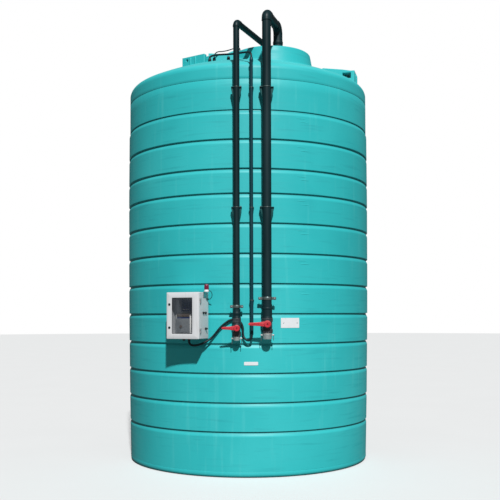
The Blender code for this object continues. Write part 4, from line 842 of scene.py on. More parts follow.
def hex_bolt(name, start, along, across, length, material):
    """A hexagon head: half its width over the cosine of the angle from the nearest flat, with its
    outer corners chamfered."""
    along = np.asarray(along, float)
    side, over = square_to(along)
    angle = full_turn(24)[0]
    flat = across / np.cos((angle + np.pi / 6.0) % (np.pi / 3.0) - np.pi / 6.0)
    ring = np.array([0.0, 1.0, 1.0, 1.0, 0.0])[:, None] * flat
    ring[3] = np.minimum(flat, across * 1.02)
    levels = np.array([0.0, 0.0, length * 0.80, length, length])[:, None]
    points = np.asarray(start, float) + along * (levels + 0.0 * ring)[..., None]
    points = points + ring[..., None] * (np.cos(angle)[:, None] * side + np.sin(angle)[:, None] * over)
    return surface(name, points, material, sharp=25.0)


def moulded_plastic(name, colour, roughness, specular, mottling, dust, dust_and_lit_top_colour, sheen):
    """Moulded plastic: mottled, lighter on its upper faces, a fine spark texture and a roughness that varies
    with the mottle. The lighter upper faces are dust, and on the clip saddles painted sunlight.
    """
    material = even_material(name, colour, roughness, specular=specular)
    mottle = noise_field(material, 60.0, detail=3.0)
    stain(material, mottle, 0.50, 0.72, 0.35, mottling)
    stain(material, facing_up(material), 0.3, 1.0, dust, dust_and_lit_top_colour)
    vary_roughness(material, mottle, *sheen)
    relief(material, noise_field(material, 900.0, detail=2.0), 0.12, 0.0003)
    return material


# The teal in this black plastic is painted reflection of the teal tank.
CLIP_PLASTIC = moulded_plastic(
    "clip_plastic", (0.004, 0.014, 0.016), 0.45, 0.25, (0.018, 0.030, 0.033),
    dust=0.6, dust_and_lit_top_colour=(0.085, 0.100, 0.102), sheen=(0.34, 0.55),
)
# The saddle's dark teal is a painted shadow, the tank's colour in shade, and its light teal upper faces are
# painted sunlight.
SHADE_PAINTED_SADDLE_PLASTIC = moulded_plastic(
    "shade_painted_saddle_plastic", (0.003, 0.062, 0.064), 0.55, 0.20, (0.010, 0.085, 0.088),
    dust=0.7, dust_and_lit_top_colour=(0.070, 0.300, 0.300), sheen=(0.48, 0.62),
)


def zinc_steel(name, colour, roughness, metallic):
    """Zinc-plated steel: dulled by white-rust clouds, a brown tinge and fine scratches."""
    material = even_material(name, colour, roughness, metallic)
    cloud = noise_field(material, 35.0, detail=4.0)
    stain(material, cloud, 0.50, 0.76, 0.65, tuple(0.6 * part for part in colour))
    rust = noise_field(material, 90.0, detail=5.0)
    stain(material, rust, 0.66, 0.80, 0.75, (0.20, 0.085, 0.035))
    vary_roughness(material, cloud, 0.30, 0.55)
    relief(material, noise_field(material, 260.0, (1.0, 1.0, 0.2), 3.0), 0.10, 0.0004)
    return material


ZINC_STEEL = zinc_steel("zinc_steel", (0.44, 0.45, 0.46), 0.38, 0.90)
DULL_STEEL = zinc_steel("dull_steel", (0.10, 0.135, 0.132), 0.55, 0.60)
FRONT = np.array([0.0, -1.0, 0.0])
RIGHT = np.array([1.0, 0.0, 0.0])


def block(name, sizes, place, material, axes=(RIGHT, UP, FRONT), sharp=30.0):
    """A closed block with rounded edges at a place. Its sizes are those of block_rows: half sizes
    along the first two axes, from low to high along the third, corner radius and edge radius."""
    return surface(name, set_in(rounded_rings(block_rows(*sizes)), place, *axes), material, sharp=sharp)


def pipe_clip(name, x, y, top, tall, pipe, ear, bolt_side):
    """One clip: a saddle that narrows downwards, its moulded rim, a steel strap round the pipe, a
    bolt on one ear and the foot."""
    low = top - tall
    shoulder, narrow = top - 0.016, ear * 0.67
    outline = [(-ear, top), (-ear, shoulder), (-narrow, low), (narrow, low), (ear, shoulder), (ear, top)]
    front, back = y + 0.010, y + pipe + 0.010
    place = partial(np.add, [x, (front + back) / 2.0, 0.0])
    saddle = prism(f"{name}_saddle", outline, (back - front) / 2.0, place, SHADE_PAINTED_SADDLE_PLASTIC)
    round_edges(saddle, 0.003)
    fit(saddle, "tank", "clip_plastic", name)
    rim_sizes = (ear - 0.0004, 0.0032, -0.014, 0.0030, 0.0015, 0.0008)
    fit(block(f"{name}_rim", rim_sizes, (x, y, top - 0.0034), SHADE_PAINTED_SADDLE_PLASTIC), "tank", "clip_plastic")
    profile = [
        (pipe + 0.0004, top - 0.0030), (pipe + 0.0020, top - 0.0031), (pipe + 0.0032, top - 0.0042),
        (pipe + 0.0034, top - 0.0052), (pipe + 0.0034, top - 0.0074), (pipe + 0.0026, top - 0.0080),
        (pipe + 0.0004, top - 0.0080),
    ]
    strap = surface(f"{name}_strap", revolved(profile, (x, y), 48), DULL_STEEL, wrap_rows=True)
    fit(strap, "tank", "zinc_steel")
    if bolt_side:
        seat = (x + bolt_side * (ear - 0.010), y + 0.0055, top - 0.001)
        fit(hex_bolt(f"{name}_bolt", seat, UP, 0.0062, 0.0090, ZINC_STEEL), "tank", "zinc_steel")
    wall_here = -math.sqrt(float(wall_radius(top)) ** 2 - x * x)
    sizes = (0.018, tall / 2.0 - 0.010, back - 0.003, wall_here + 0.006, 0.004, 0.001)
    middle = (x, 0.0, (top + low) / 2.0)
    foot = block(f"{name}_foot", sizes, middle, SHADE_PAINTED_SADDLE_PLASTIC, (RIGHT, UP, -FRONT))
    fit(foot, "tank", "clip_plastic")


for level_name, top in (("upper", 3.953), ("middle", 2.734)):
    pipe_clip(f"fill_clip_{level_name}", FILL_X, PIPE_Y, top, 0.108, FILL_RADIUS, 0.072, -1.0)
    pipe_clip(f"draw_clip_{level_name}", DRAW_X, PIPE_Y, top, 0.108, DRAW_RADIUS, 0.053, 1.0)
    pipe_clip(f"conduit_clip_{level_name}", CONDUIT_X, CONDUIT_Y, top, 0.0605, CONDUIT_RADIUS, 0.024, 0.0)
pipe_clip("conduit_clip_lower", CONDUIT_X, CONDUIT_Y, 1.800, 0.060, CONDUIT_RADIUS, 0.022, 0.0)


# The two lower clamps: bent steel strip gone dull, with a long ear at both sides, pulled together
# by zinc-plated bolts, on a foot welded to the wall.
SIDES = (("left", -1.0), ("right", 1.0))
for line_name, x, level, pipe, ear, bolt in (
    ("fill", FILL_X, 1.811, FILL_RADIUS, 0.088, 0.075), ("draw", DRAW_X, 1.730, DRAW_RADIUS, 0.064, 0.053),
):
    name = f"{line_name}_clamp"
    profile = [
        (pipe + 0.0006, level + 0.015), (pipe + 0.0036, level + 0.015), (pipe + 0.0044, level + 0.0140),
        (pipe + 0.0044, level - 0.0140), (pipe + 0.0036, level - 0.015), (pipe + 0.0006, level - 0.015),
    ]
    band = surface(f"{name}_band", revolved(profile, (x, PIPE_Y), 48), DULL_STEEL, wrap_rows=True)
    fit(band, "tank", "zinc_steel", name)
    for side_name, side in SIDES:
        middle = (pipe + ear) / 2.0
        for face_name, back in (("front", 0.0015), ("back", -0.0065)):
            sizes = (ear - middle + 0.002, 0.0145, back, back + 0.005, 0.005, 0.0008)
            place = (x + side * middle, PIPE_Y, level)
            fit(block(f"{name}_{face_name}_ear_{side_name}", sizes, place, DULL_STEEL), "tank", "zinc_steel")
        bolt_x = x + side * bolt
        seat = (bolt_x, PIPE_Y - 0.0062, level)
        bolt_head = hex_bolt(f"{name}_bolt_{side_name}", seat, FRONT, 0.0068, 0.0060, ZINC_STEEL)
        fit(bolt_head, "tank", "zinc_steel")
        back, front = (bolt_x, PIPE_Y + 0.028, level), (bolt_x, PIPE_Y - 0.016, level)
        shank = bar(f"{name}_shank_{side_name}", back, front, 0.0038, ZINC_STEEL, columns=16, round_end=0.001)
        fit(shank, "tank", "zinc_steel")
        seat = (bolt_x, PIPE_Y + 0.0068, level)
        nut = hex_bolt(f"{name}_nut_{side_name}", seat, -FRONT, 0.0068, 0.0060, ZINC_STEEL)
        fit(nut, "tank", "zinc_steel")
    wall_here = -math.sqrt(float(wall_radius(level)) ** 2 - x * x)
    sizes = (0.018, 0.012, PIPE_Y + pipe * 0.8, wall_here + 0.006, 0.002, 0.0006)
    foot = block(f"{name}_foot", sizes, (x, 0.0, level), DULL_STEEL, (RIGHT, UP, -FRONT))
    fit(foot, "tank", "zinc_steel")


# The two ball valves: dark grey plastic bodies between two ribbed union nuts, with a stem boss
# towards the front.
def valve_plastic():
    """Dark grey plastic: a little bluish, chalked in clouds, with dust on the nuts' upper faces."""
    material = even_material("valve_plastic", (0.022, 0.026, 0.031), 0.38)
    chalk = noise_field(material, 28.0, detail=4.0)
    stain(material, chalk, 0.48, 0.75, 0.45, (0.060, 0.066, 0.072))
    stain(material, facing_up(material), 0.3, 1.0, 0.5, (0.115, 0.120, 0.118))
    vary_roughness(material, chalk, 0.30, 0.50)
    relief(material, noise_field(material, 420.0, detail=2.0), 0.10, 0.0003)
    return material


VALVE_PLASTIC = valve_plastic()
NUT_RIB = 0.0022


def union_nut(name, x, low, high, radius, count):
    """A union nut: its radius drops between the ribs, after a raised cosine of the azimuth, and eases
    to a plain rounded rim at both ends."""
    angle = full_turn(count * 8)
    share = np.array([0.0, 0.0, 0.04, 0.12, 0.16, 0.24, 0.50, 0.80, 0.90, 0.96, 1.0, 1.0])[:, None]
    size = np.array([0.0, 0.93, 0.97, 1.0, 1.0, 1.0, 1.0, 1.0, 1.0, 0.985, 0.955, 0.0])[:, None] * radius
    ribbed = np.array([0.0, 0.0, 0.0, 0.0, 0.2, 1.0, 1.0, 1.0, 0.8, 0.2, 0.0, 0.0])[:, None]
    radii = size - NUT_RIB * ribbed * (0.5 - 0.5 * np.cos(count * angle)) ** 0.7
    points = about_axis(radii, angle, low + share * (high - low), (x, PIPE_Y))
    return surface(name, points, VALVE_PLASTIC, sharp=50.0)


STEM_LEVELS = {"fill": 1.555, "draw": 1.515}
for line_name, x, low, high, radius in (
    ("fill", FILL_X, 1.465, 1.6147, 0.056), ("draw", DRAW_X, 1.430, 1.6147, 0.043),
):
    nut_length = (high - low) * 0.26
    waist = radius * 0.90
    middle = (low + high) / 2.0
    profile = [
        (0.0, high - 0.004), (waist - 0.004, high - 0.004), (waist - 0.002, middle + 0.030),
        (waist, middle + 0.022), (waist, middle - 0.022), (waist - 0.002, middle - 0.030),
        (waist - 0.004, low + 0.004), (0.0, low + 0.004),
    ]
    body = surface(f"{line_name}_valve_body", revolved(profile, (x, PIPE_Y), 48), VALVE_PLASTIC)
    fit(body, "tank", "valve_plastic", f"{line_name}_valve")
    fit(union_nut(f"{line_name}_upper_nut", x, high - nut_length, high, radius, 22), "tank", "valve_plastic")
    fit(union_nut(f"{line_name}_lower_nut", x, low, low + nut_length, radius, 22), "tank", "valve_plastic")
    boss_profile = [
        (0.0, 0.0), (0.028, 0.0), (0.028, 0.040), (0.0265, 0.044), (0.0234, 0.047), (0.0234, 0.058),
        (0.0220, 0.0600), (0.012, 0.0600), (0.010, 0.0608), (0.006, 0.0612), (0.006, 0.0885),
        (0.0052, 0.0898), (0.0, 0.0900),
    ]
    boss = set_in(revolved(boss_profile, columns=32), (x, PIPE_Y, STEM_LEVELS[line_name]), RIGHT, UP, FRONT)
    fit(surface(f"{line_name}_stem_boss", boss, VALVE_PLASTIC, sharp=35.0), "tank", "valve_plastic")


# The valve levers: red moulded plastic, a dished hub on the stem and a lever that thins towards
# its tip, with a raised rib along the middle. They stand closed, square to the pipe.
def handle_plastic():
    """Red plastic: sun-bleached patches, small spots of grime and a soft sheen."""
    material = even_material("handle_plastic", (0.43, 0.016, 0.030), 0.36)
    bleach = noise_field(material, 22.0, detail=3.0)
    stain(material, bleach, 0.50, 0.75, 0.40, (0.54, 0.060, 0.062))
    grime = noise_field(material, 85.0, detail=4.0)
    stain(material, grime, 0.60, 0.80, 0.55, (0.13, 0.020, 0.016))
    vary_roughness(material, bleach, 0.28, 0.48)
    relief(material, noise_field(material, 500.0, detail=2.0), 0.10, 0.0003)
    return material


HANDLE_PLASTIC = handle_plastic()
HANDLE_Y = -1.551
HUB_HALF = 0.0138
for line_name, x, lever, hub in (("fill", FILL_X, 0.190, 0.037), ("draw", DRAW_X, 0.150, 0.033)):
    level = STEM_LEVELS[line_name]
    centre = (x, HANDLE_Y, level)
    hub_profile = [
        (0.0066, -HUB_HALF), (hub - 0.002, -HUB_HALF), (hub, -0.0115), (hub * 0.96, 0.0090),
        (hub * 0.90, 0.0125), (hub * 0.84, HUB_HALF), (hub * 0.66, HUB_HALF), (hub * 0.60, 0.0120),
        (0.0110, 0.0115), (0.0095, HUB_HALF), (0.0078, HUB_HALF), (0.0066, 0.0125),
    ]
    hub_points = set_in(revolved(hub_profile, columns=40), centre, RIGHT, UP, FRONT)
    hub_piece = surface(f"{line_name}_lever_hub", hub_points, HANDLE_PLASTIC, wrap_rows=True, sharp=35.0)
    fit(hub_piece, f"{line_name}_valve_handle", "handle_plastic", f"{line_name}_valve_handle")
    # The lever runs out to the left: its half width and half thickness ease from root to tip.
    root, tip, start = hub * 0.72, hub * 0.34, hub * 0.62
    along = np.array([0.0, 0.0, 0.12, 0.35, 0.60, 0.80, 0.92, 0.965, 0.99, 1.0, 1.0])
    half = np.interp(along, [0.0, 0.35, 1.0], [root, root * 0.72, tip])
    half = half * np.sqrt(np.clip((1.0 - along) / 0.06, 0.03, 1.0))
    thick = np.interp(along, [0.0, 0.92, 1.0], [0.0058, 0.0052, 0.0040])
    rows = np.stack([half, thick, np.minimum(half, thick) * 0.7, start + along * (lever - start)], -1)
    rows[[0, -1], :3] = 0.0
    lever_points = set_in(rounded_rings(rows), centre, UP, FRONT, -RIGHT)
    lever_piece = surface(f"{line_name}_lever_arm", lever_points, HANDLE_PLASTIC, sharp=40.0)
    fit(lever_piece, f"{line_name}_valve_handle", "handle_plastic")
    sizes = (0.0022, 0.0040, hub * 0.92, lever * 0.90, 0.0010, 0.0010)
    place = (x, HANDLE_Y - 0.0035, level)
    rib = block(f"{line_name}_lever_rib", sizes, place, HANDLE_PLASTIC, (UP, FRONT, -RIGHT), 40.0)
    fit(rib, f"{line_name}_valve_handle", "handle_plastic")


# The cam couplings: a cast aluminium adaptor under each valve, closed by a dust cap that two zinc
# cam arms hold on. The caps carry a pair of ears and a pin for each arm.
def cast_aluminium(name, colour, roughness, metallic):
    """Cast aluminium: grainy, greyed in patches, with brighter rubbed places."""
    material = even_material(name, colour, roughness, metallic)
    patina = noise_field(material, 30.0, detail=4.0)
    stain(material, patina, 0.48, 0.74, 0.7, tuple(0.55 * part for part in colour))
    vary_roughness(material, patina, 0.30, 0.55)
    relief(material, noise_field(material, 380.0, detail=4.0), 0.22, 0.0006)
    return material


ALUMINIUM = cast_aluminium("cast_aluminium", (0.52, 0.59, 0.58), 0.42, 0.75)
# A paler, cream, less metallic copy of the cast aluminium for the adaptors: a painted highlight of their
# sunlit shoulders.
SUNLIT_ALUMINIUM = cast_aluminium("sunlit_painted_aluminium", (0.70, 0.68, 0.64), 0.42, 0.30)
for line_name, x, valve_low, cap_low, cap_high, cap in (
    ("fill", FILL_X, 1.465, 1.400, 1.455, 0.049), ("draw", DRAW_X, 1.430, 1.386, 1.422, 0.035),
):
    top = valve_low - 0.0003
    flange = cap_high + 0.0015
    spigot, spigot_low = cap - 0.0063, cap_low + 0.0065
    profile = [
        (0.0, top), (cap * 0.97, top), (cap * 0.98, top - 0.001), (cap * 0.98, flange + 0.001),
        (cap * 0.97, flange), (spigot, flange), (spigot, spigot_low + 0.001), (spigot - 0.001, spigot_low),
        (0.0, spigot_low),
    ]
    adaptor = surface(f"{line_name}_cam_adaptor", revolved(profile, (x, PIPE_Y), 48), SUNLIT_ALUMINIUM)
    fit(adaptor, "tank", "cast_aluminium", f"{line_name}_adaptor")
    profile = [
        (0.0, cap_low + 0.006), (cap - 0.007, cap_low + 0.006), (cap - 0.006, cap_low + 0.007),
        (cap - 0.006, cap_high - 0.001), (cap - 0.005, cap_high), (cap - 0.001, cap_high),
        (cap, cap_high - 0.001), (cap, cap_high - 0.008), (cap - 0.0015, cap_high - 0.010),
        (cap - 0.0015, cap_low + 0.012), (cap - 0.004, cap_low + 0.004), (cap - 0.009, cap_low + 0.0006),
        (cap - 0.014, cap_low), (0.0, cap_low),
    ]
    cover = surface(f"{line_name}_dust_cap", revolved(profile, (x, PIPE_Y), 56), ALUMINIUM)
    fit(cover, "tank", "cast_aluminium", f"{line_name}_cap")
    pivot_level = cap_high - 0.010
    for side_name, side in SIDES:
        pivot = x + side * (cap + 0.013)
        for number, offset in enumerate((-0.0085, 0.0085)):
            sizes = (0.0125, 0.0080, -0.0019, 0.0019, 0.0070, 0.0008)
            place = (pivot - side * 0.0055, PIPE_Y + offset, pivot_level)
            ear = block(f"{line_name}_cap_ear_{side_name}_{number + 1}", sizes, place, ALUMINIUM, sharp=35.0)
            fit(ear, "tank", "cast_aluminium")
        front, back = ((pivot, PIPE_Y + reach, pivot_level) for reach in (-0.0122, 0.0122))
        pin = bar(
            f"{line_name}_cam_pin_{side_name}", front, back, 0.0028, ALUMINIUM, columns=16, round_end=0.0006,
        )
        fit(pin, "tank", "cast_aluminium")
        arm_body = f"{line_name}_cam_arm_{side_name}"
        hub_profile = [
            (0.0034, -0.0040), (0.0078, -0.0040), (0.0085, -0.0032), (0.0085, 0.0032), (0.0078, 0.0040),
            (0.0034, 0.0040),
        ]
        centre = (pivot, PIPE_Y, pivot_level)
        hub_points = set_in(revolved(hub_profile, columns=32), centre, RIGHT, UP, FRONT)
        hub_piece = surface(
            f"{line_name}_cam_hub_{side_name}", hub_points, DULL_STEEL, wrap_rows=True, sharp=35.0,
        )
        fit(hub_piece, arm_body, "zinc_steel", arm_body)
        drop = np.array([0.006, 0.006, 0.010, 0.020, 0.034, 0.046, 0.052, 0.0555, 0.056])
        wide = np.array([0.0, 0.0034, 0.0032, 0.0027, 0.0027, 0.0030, 0.0032, 0.0022, 0.0])
        open_ring = np.where(wide > 0.0, 1.0, 0.0)
        rows = np.stack([wide, 0.0038 * open_ring, 0.0012 * open_ring, drop], -1)
        arm_points = set_in(rounded_rings(rows), centre, RIGHT, FRONT, -UP)
        arm = surface(f"{line_name}_cam_lever_{side_name}", arm_points, DULL_STEEL, sharp=35.0)
        fit(arm, arm_body, "zinc_steel")


# The control box: a light grey powder-coated steel housing with turned-in rims, held by two rails
# against the wall of the tank, 24 degrees round to the left.
BOX_ORIGIN = np.array([-0.565319, -1.269727, 1.641])
BOX_RIGHT = np.array([0.91355, -0.40674, 0.0])
BOX_OUT = np.array([-0.40674, -0.91355, 0.0])
BOX_HALF_WIDE = 0.1825
BOX_HALF_TALL = 0.234


def at_box(points):
    """Place points given as (right, up, out) from the wall behind the middle of the box."""
    return set_in(np.asarray(points, float), BOX_ORIGIN, BOX_RIGHT, UP, BOX_OUT)


def box_point(right, up, out):
    """One place given as right, up and out from the wall behind the middle of the box."""
    return at_box([[right, up, out]])[0]


def box_rings(rows, half_wide=BOX_HALF_WIDE, half_tall=BOX_HALF_TALL, middle=(0.0, 0.0)):
    """Rounded rectangles about a middle, in the box's frame: a row gives how far a ring lies inside the
    half sizes, its corner radius and its distance out."""
    inset, corner, out = np.asarray(rows, float).T
    rings = rounded_rings(np.stack([half_wide - inset, half_tall - inset, corner, out], -1), 6)
    return rings + np.array([*middle, 0.0])


def on_side(points, up, out):
    """Turn points so that their third direction runs to the box's right, then set them up and out."""
    return at_box(np.stack([points[..., 2], points[..., 1] + up, points[..., 0] + out], -1))


def box_block(name, wide, tall, low, high, centre, material, corner=0.003, edge=0.001):
    """A closed block in the box's frame: half sizes across, and from low to high outwards."""
    points = rounded_rings(block_rows(wide, tall, low, high, corner, edge)) + np.array([*centre, 0.0])
    return surface(name, at_box(points), material, sharp=30.0)


def box_grey():
    """Light grey powder coat: orange-peel bump, rain streaks down its faces and a little grime."""
    material = even_material("box_grey", (0.535, 0.550, 0.567), 0.36)
    clouds = noise_field(material, 4.0, detail=3.0)
    stain(material, clouds, 0.45, 0.75, 0.45, (0.57, 0.57, 0.57))
    streaks = noise_field(material, 20.0, (3.0, 3.0, 0.15), 4.0)
    stain(material, streaks, 0.56, 0.80, 0.45, (0.33, 0.33, 0.31))
    vary_roughness(material, clouds, 0.30, 0.46)
    relief(material, noise_field(material, 240.0, detail=2.0), 0.10, 0.0006)
    return material


BOX_GREY = box_grey()
shell_rings = box_rings([
    (0.0065, 0.0030, 0.0140), (0.0025, 0.0050, 0.0150), (0.0005, 0.0060, 0.0175), (0.0, 0.0065, 0.0205),
    (0.0, 0.0065, 0.2030), (0.0010, 0.0060, 0.2040), (0.0135, 0.0040, 0.2040), (0.0145, 0.0040, 0.2035),
    (0.0145, 0.0040, 0.2010), (0.0040, 0.0025, 0.2000), (0.0040, 0.0025, 0.0180),
])
# The back closes to a point at the middle, outside and inside.
to_middle = np.array([0.0, 0.0, 1.0])
shell_points = np.concatenate([shell_rings[:1] * to_middle, shell_rings, shell_rings[-1:] * to_middle])
shell = surface("box_shell", at_box(shell_points), BOX_GREY, sharp=35.0)
fit(shell, "tank", "box_grey", "enclosure_body")


# The two rails behind the box: zinc-plated steel, cut at the back to the tank's curve, and a little
# shorter than the box is wide.
HINGE_LEVELS = (("upper", 0.150), ("lower", -0.150))
RAIL_FRONT = 0.0142
for rail_name, level in HINGE_LEVELS:
    reach = np.array([-0.1500, -0.1500, -0.1488, -0.10, -0.05, 0.0, 0.05, 0.10, 0.1488, 0.1500, 0.1500])
    tank_here = float(wall_radius(BOX_ORIGIN[2] + level))
    back = np.sqrt(tank_here ** 2 - reach ** 2) - float(wall_radius(BOX_ORIGIN[2])) + 0.0004
    inside = np.abs(reach) < 0.1500
    half_tall = np.where(inside, 0.0160, 0.0150)
    half_tall[[0, -1]] = 0.0
    half_deep = np.where(half_tall > 0.0, (RAIL_FRONT - back) / 2.0, 0.0)
    rows = np.stack([half_deep, half_tall, np.where(half_tall > 0.0, 0.0010, 0.0), reach], -1)
    points = on_side(rounded_rings(rows, 3), level, ((RAIL_FRONT + back) / 2.0)[:, None])
    fit(surface(f"box_rail_{rail_name}", points, ZINC_STEEL, sharp=30.0), "tank", "zinc_steel")


# The side hinges: a leaf and half a barrel of zinc-plated steel on the box, screwed on, and half a
# barrel with its arm on the door.
HINGE_RIGHT = 0.1915
HINGE_OUT = 0.2047
HINGE_RADIUS = 0.006
BOX_SIDE = 0.1820
for hinge_name, level in HINGE_LEVELS:
    leaf_rows = block_rows(0.0138, 0.0248, BOX_SIDE, BOX_SIDE + 0.0030, 0.0030, 0.0006)
    leaf = on_side(rounded_rings(leaf_rows), level, 0.1890)
    fit(surface(f"hinge_leaf_{hinge_name}", leaf, ZINC_STEEL, sharp=30.0), "tank", "zinc_steel")
    middle = ((BOX_SIDE + HINGE_RIGHT) / 2.0, level - 0.0128)
    web = box_block(
        f"hinge_web_{hinge_name}", 0.0046, 0.0120, 0.1990, 0.2030, middle, ZINC_STEEL, 0.001, 0.0004,
    )
    fit(web, "tank", "zinc_steel")
    low, split_low, split_high, high = (
        box_point(HINGE_RIGHT, level + rise, HINGE_OUT) for rise in (-0.0250, -0.0005, 0.0005, 0.0250)
    )
    barrel = bar(f"hinge_barrel_{hinge_name}", low, split_low, HINGE_RADIUS, ZINC_STEEL, round_end=0.0006)
    fit(barrel, "tank", "zinc_steel")
    knuckle = bar(f"door_knuckle_{hinge_name}", split_high, high, HINGE_RADIUS, ZINC_STEEL, round_end=0.0006)
    fit(knuckle, "enclosure_door", "box_grey")
    middle = (HINGE_RIGHT - 0.0058, level + 0.0128)
    arm = box_block(
        f"knuckle_arm_{hinge_name}", 0.0056, 0.0118, 0.2058, 0.2108, middle, ZINC_STEEL, 0.001, 0.0004,
    )
    fit(arm, "enclosure_door", "box_grey")
    for number, height in enumerate((level - 0.014, level + 0.014)):
        centre = box_point(0.1848, height, 0.1870)
        screw = hex_bolt(
            f"hinge_screw_{hinge_name}_{number + 1}", centre, BOX_RIGHT, 0.0034, 0.0016, ZINC_STEEL,
        )
        fit(screw, "tank", "zinc_steel")


# The door: the same grey steel, with a rolled edge, a long window opening with a rounded rim and
# two round holes for the locks. It hangs on the box's two hinges.
WINDOW_RIGHT = -0.0075
WINDOW_UP = -0.0025
WINDOW_HALF_WIDE = 0.116
WINDOW_HALF_TALL = 0.1810
DOOR_BACK = 0.2055
DOOR_FRONT = 0.2290
PANE_BACK = 0.2200
PANE_FRONT = 0.2240
WINDOW_MIDDLE = (WINDOW_RIGHT, WINDOW_UP)


def window_rings(rows):
    """Rings about the window opening: a row gives how far a ring lies inside the opening."""
    return box_rings(rows, WINDOW_HALF_WIDE, WINDOW_HALF_TALL, WINDOW_MIDDLE)


edge_rings = box_rings([
    (0.0035, 0.006, DOOR_BACK), (0.0010, 0.007, DOOR_BACK), (0.0, 0.008, DOOR_BACK + 0.0010),
    (0.0, 0.008, DOOR_FRONT - 0.0035), (0.0010, 0.007, DOOR_FRONT - 0.0013), (0.0035, 0.005, DOOR_FRONT),
])
opening_rings = window_rings([
    (-0.0090, 0.012, DOOR_FRONT), (-0.0080, 0.011, DOOR_FRONT), (-0.0020, 0.008, DOOR_FRONT),
    (-0.0004, 0.007, DOOR_FRONT - 0.0008), (0.0, 0.007, DOOR_FRONT - 0.0020),
    (0.0, 0.007, PANE_FRONT + 0.0004), (-0.0063, 0.003, PANE_FRONT + 0.0004),
    (-0.0063, 0.003, DOOR_BACK + 0.0005),
])
back_ring = box_rings([(0.0, 0.004, DOOR_BACK)], 0.1300, 0.2100, (WINDOW_RIGHT, 0.0))
door_rings = np.concatenate([edge_rings, opening_rings, back_ring, edge_rings[:1]])
door = surface("door_leaf", at_box(door_rings), BOX_GREY, sharp=35.0)
LOCK_RIGHT = -0.1505
LOCK_LEVELS = {"upper": 0.112, "lower": -0.121}
for lock_level in LOCK_LEVELS.values():
    hole_back, hole_front = (box_point(LOCK_RIGHT, lock_level, out) for out in (0.1900, 0.2400))
    carve(door, bar("lock_hole", hole_back, hole_front, 0.0105, BOX_GREY, columns=32))
pocket = rounded_rings(block_rows(0.0225, 0.2090, 0.1950, 0.2175, 0.004, 0.001))
carve(door, surface("lock_pocket", at_box(pocket + np.array([LOCK_RIGHT + 0.010, 0.0, 0.0])), BOX_GREY))
shade(door.data, 35.0)
fit(door, "enclosure_door", "box_grey", "enclosure_door")


# The window: lightly smoked polycarbonate behind a black rubber gasket that shows as a thin dark
# frame. The same rubber seals the door's back on the box's rim.
def window_glass():
    """Clear polycarbonate with a slight smoke tint, a film of dust and wiped streaks."""
    material = even_material("window_glass", (0.052, 0.066, 0.082), 0.07)
    principled = material.node_tree.nodes["Principled BSDF"]
    dust = noise_field(material, 9.0, (1.0, 1.0, 0.4), 5.0)
    stain(material, dust, 0.42, 0.75, 0.6, (0.18, 0.20, 0.23))
    vary_roughness(material, dust, 0.04, 0.16)
    relief(material, noise_field(material, 6.0, detail=2.0), 0.06, 0.002)
    cover = between(material, dust, 0.40, 0.75, 0.14, 0.34)
    material.node_tree.links.new(cover, principled.inputs["Alpha"])
    return material


def gasket_rubber():
    """Black rubber, greyed by the sun in patches."""
    material = even_material("gasket_rubber", (0.016, 0.016, 0.017), 0.65)
    bloom = noise_field(material, 50.0, detail=3.0)
    stain(material, bloom, 0.5, 0.75, 0.5, (0.060, 0.060, 0.062))
    vary_roughness(material, bloom, 0.55, 0.80)
    relief(material, noise_field(material, 300.0, detail=2.0), 0.15, 0.0004)
    return material


GASKET_RUBBER = gasket_rubber()
PANE_LAP = 0.0055
pane = box_block(
    "window_pane", WINDOW_HALF_WIDE + PANE_LAP, WINDOW_HALF_TALL + PANE_LAP, PANE_BACK, PANE_FRONT,
    WINDOW_MIDDLE, window_glass(), 0.003, 0.0005,
)
fit(pane, "enclosure_door", "window_glass", "door_window")
seal_rings = window_rings([
    (0.0002, 0.006, PANE_FRONT + 0.0004), (0.0002, 0.006, PANE_FRONT + 0.0022),
    (0.0016, 0.005, PANE_FRONT + 0.0026), (0.0034, 0.004, PANE_FRONT + 0.0010),
    (0.0036, 0.004, PANE_FRONT + 0.0004),
])
seal = surface("window_seal", at_box(seal_rings), GASKET_RUBBER, wrap_rows=True, sharp=40.0)
fit(seal, "enclosure_door", "clip_plastic")
gasket_rings = box_rings([
    (0.0080, 0.006, DOOR_BACK - 0.0001), (0.0080, 0.006, 0.2046), (0.0090, 0.006, 0.2043),
    (0.0113, 0.005, 0.2043), (0.0123, 0.005, 0.2046), (0.0123, 0.005, DOOR_BACK - 0.0001),
])
gasket = surface("door_gasket", at_box(gasket_rings), GASKET_RUBBER, wrap_rows=True, sharp=40.0)
fit(gasket, "enclosure_door", "clip_plastic")


# The two quarter-turn locks at the door's free edge: black plastic heads with a slot, a body
# through the door and a tongue that catches behind the box's rim.
HEAD_PROFILE = (
    (0.0, -0.0190), (0.0095, -0.0190), (0.0098, -0.0185), (0.0098, 0.0004), (0.0128, 0.0004),
    (0.0130, 0.0012), (0.0128, 0.0024), (0.0118, 0.0038), (0.0105, 0.0041), (0.0096, 0.0036),
    (0.0060, 0.0034), (0.0, 0.0034),
)
for lock_name, level in LOCK_LEVELS.items():
    head_points = revolved(HEAD_PROFILE, columns=40) + np.array([LOCK_RIGHT, level, DOOR_FRONT])
    head = surface(f"lock_head_{lock_name}", at_box(head_points), CLIP_PLASTIC, sharp=35.0)
    slot = (LOCK_RIGHT, level)
    carve(head, box_block("key_slot", 0.0014, 0.0060, 0.2308, 0.2345, slot, CLIP_PLASTIC, 0.0008, 0.0002))
    shade(head.data, 35.0)
    fit(head, f"door_lock_{lock_name}", "clip_plastic", f"door_lock_{lock_name}")
    middle = (LOCK_RIGHT, level - 0.008)
    tongue = box_block(
        f"lock_tongue_{lock_name}", 0.0060, 0.0110, 0.2095, 0.2125, middle, CLIP_PLASTIC, 0.002, 0.0004,
    )
    fit(tongue, f"door_lock_{lock_name}", "clip_plastic")


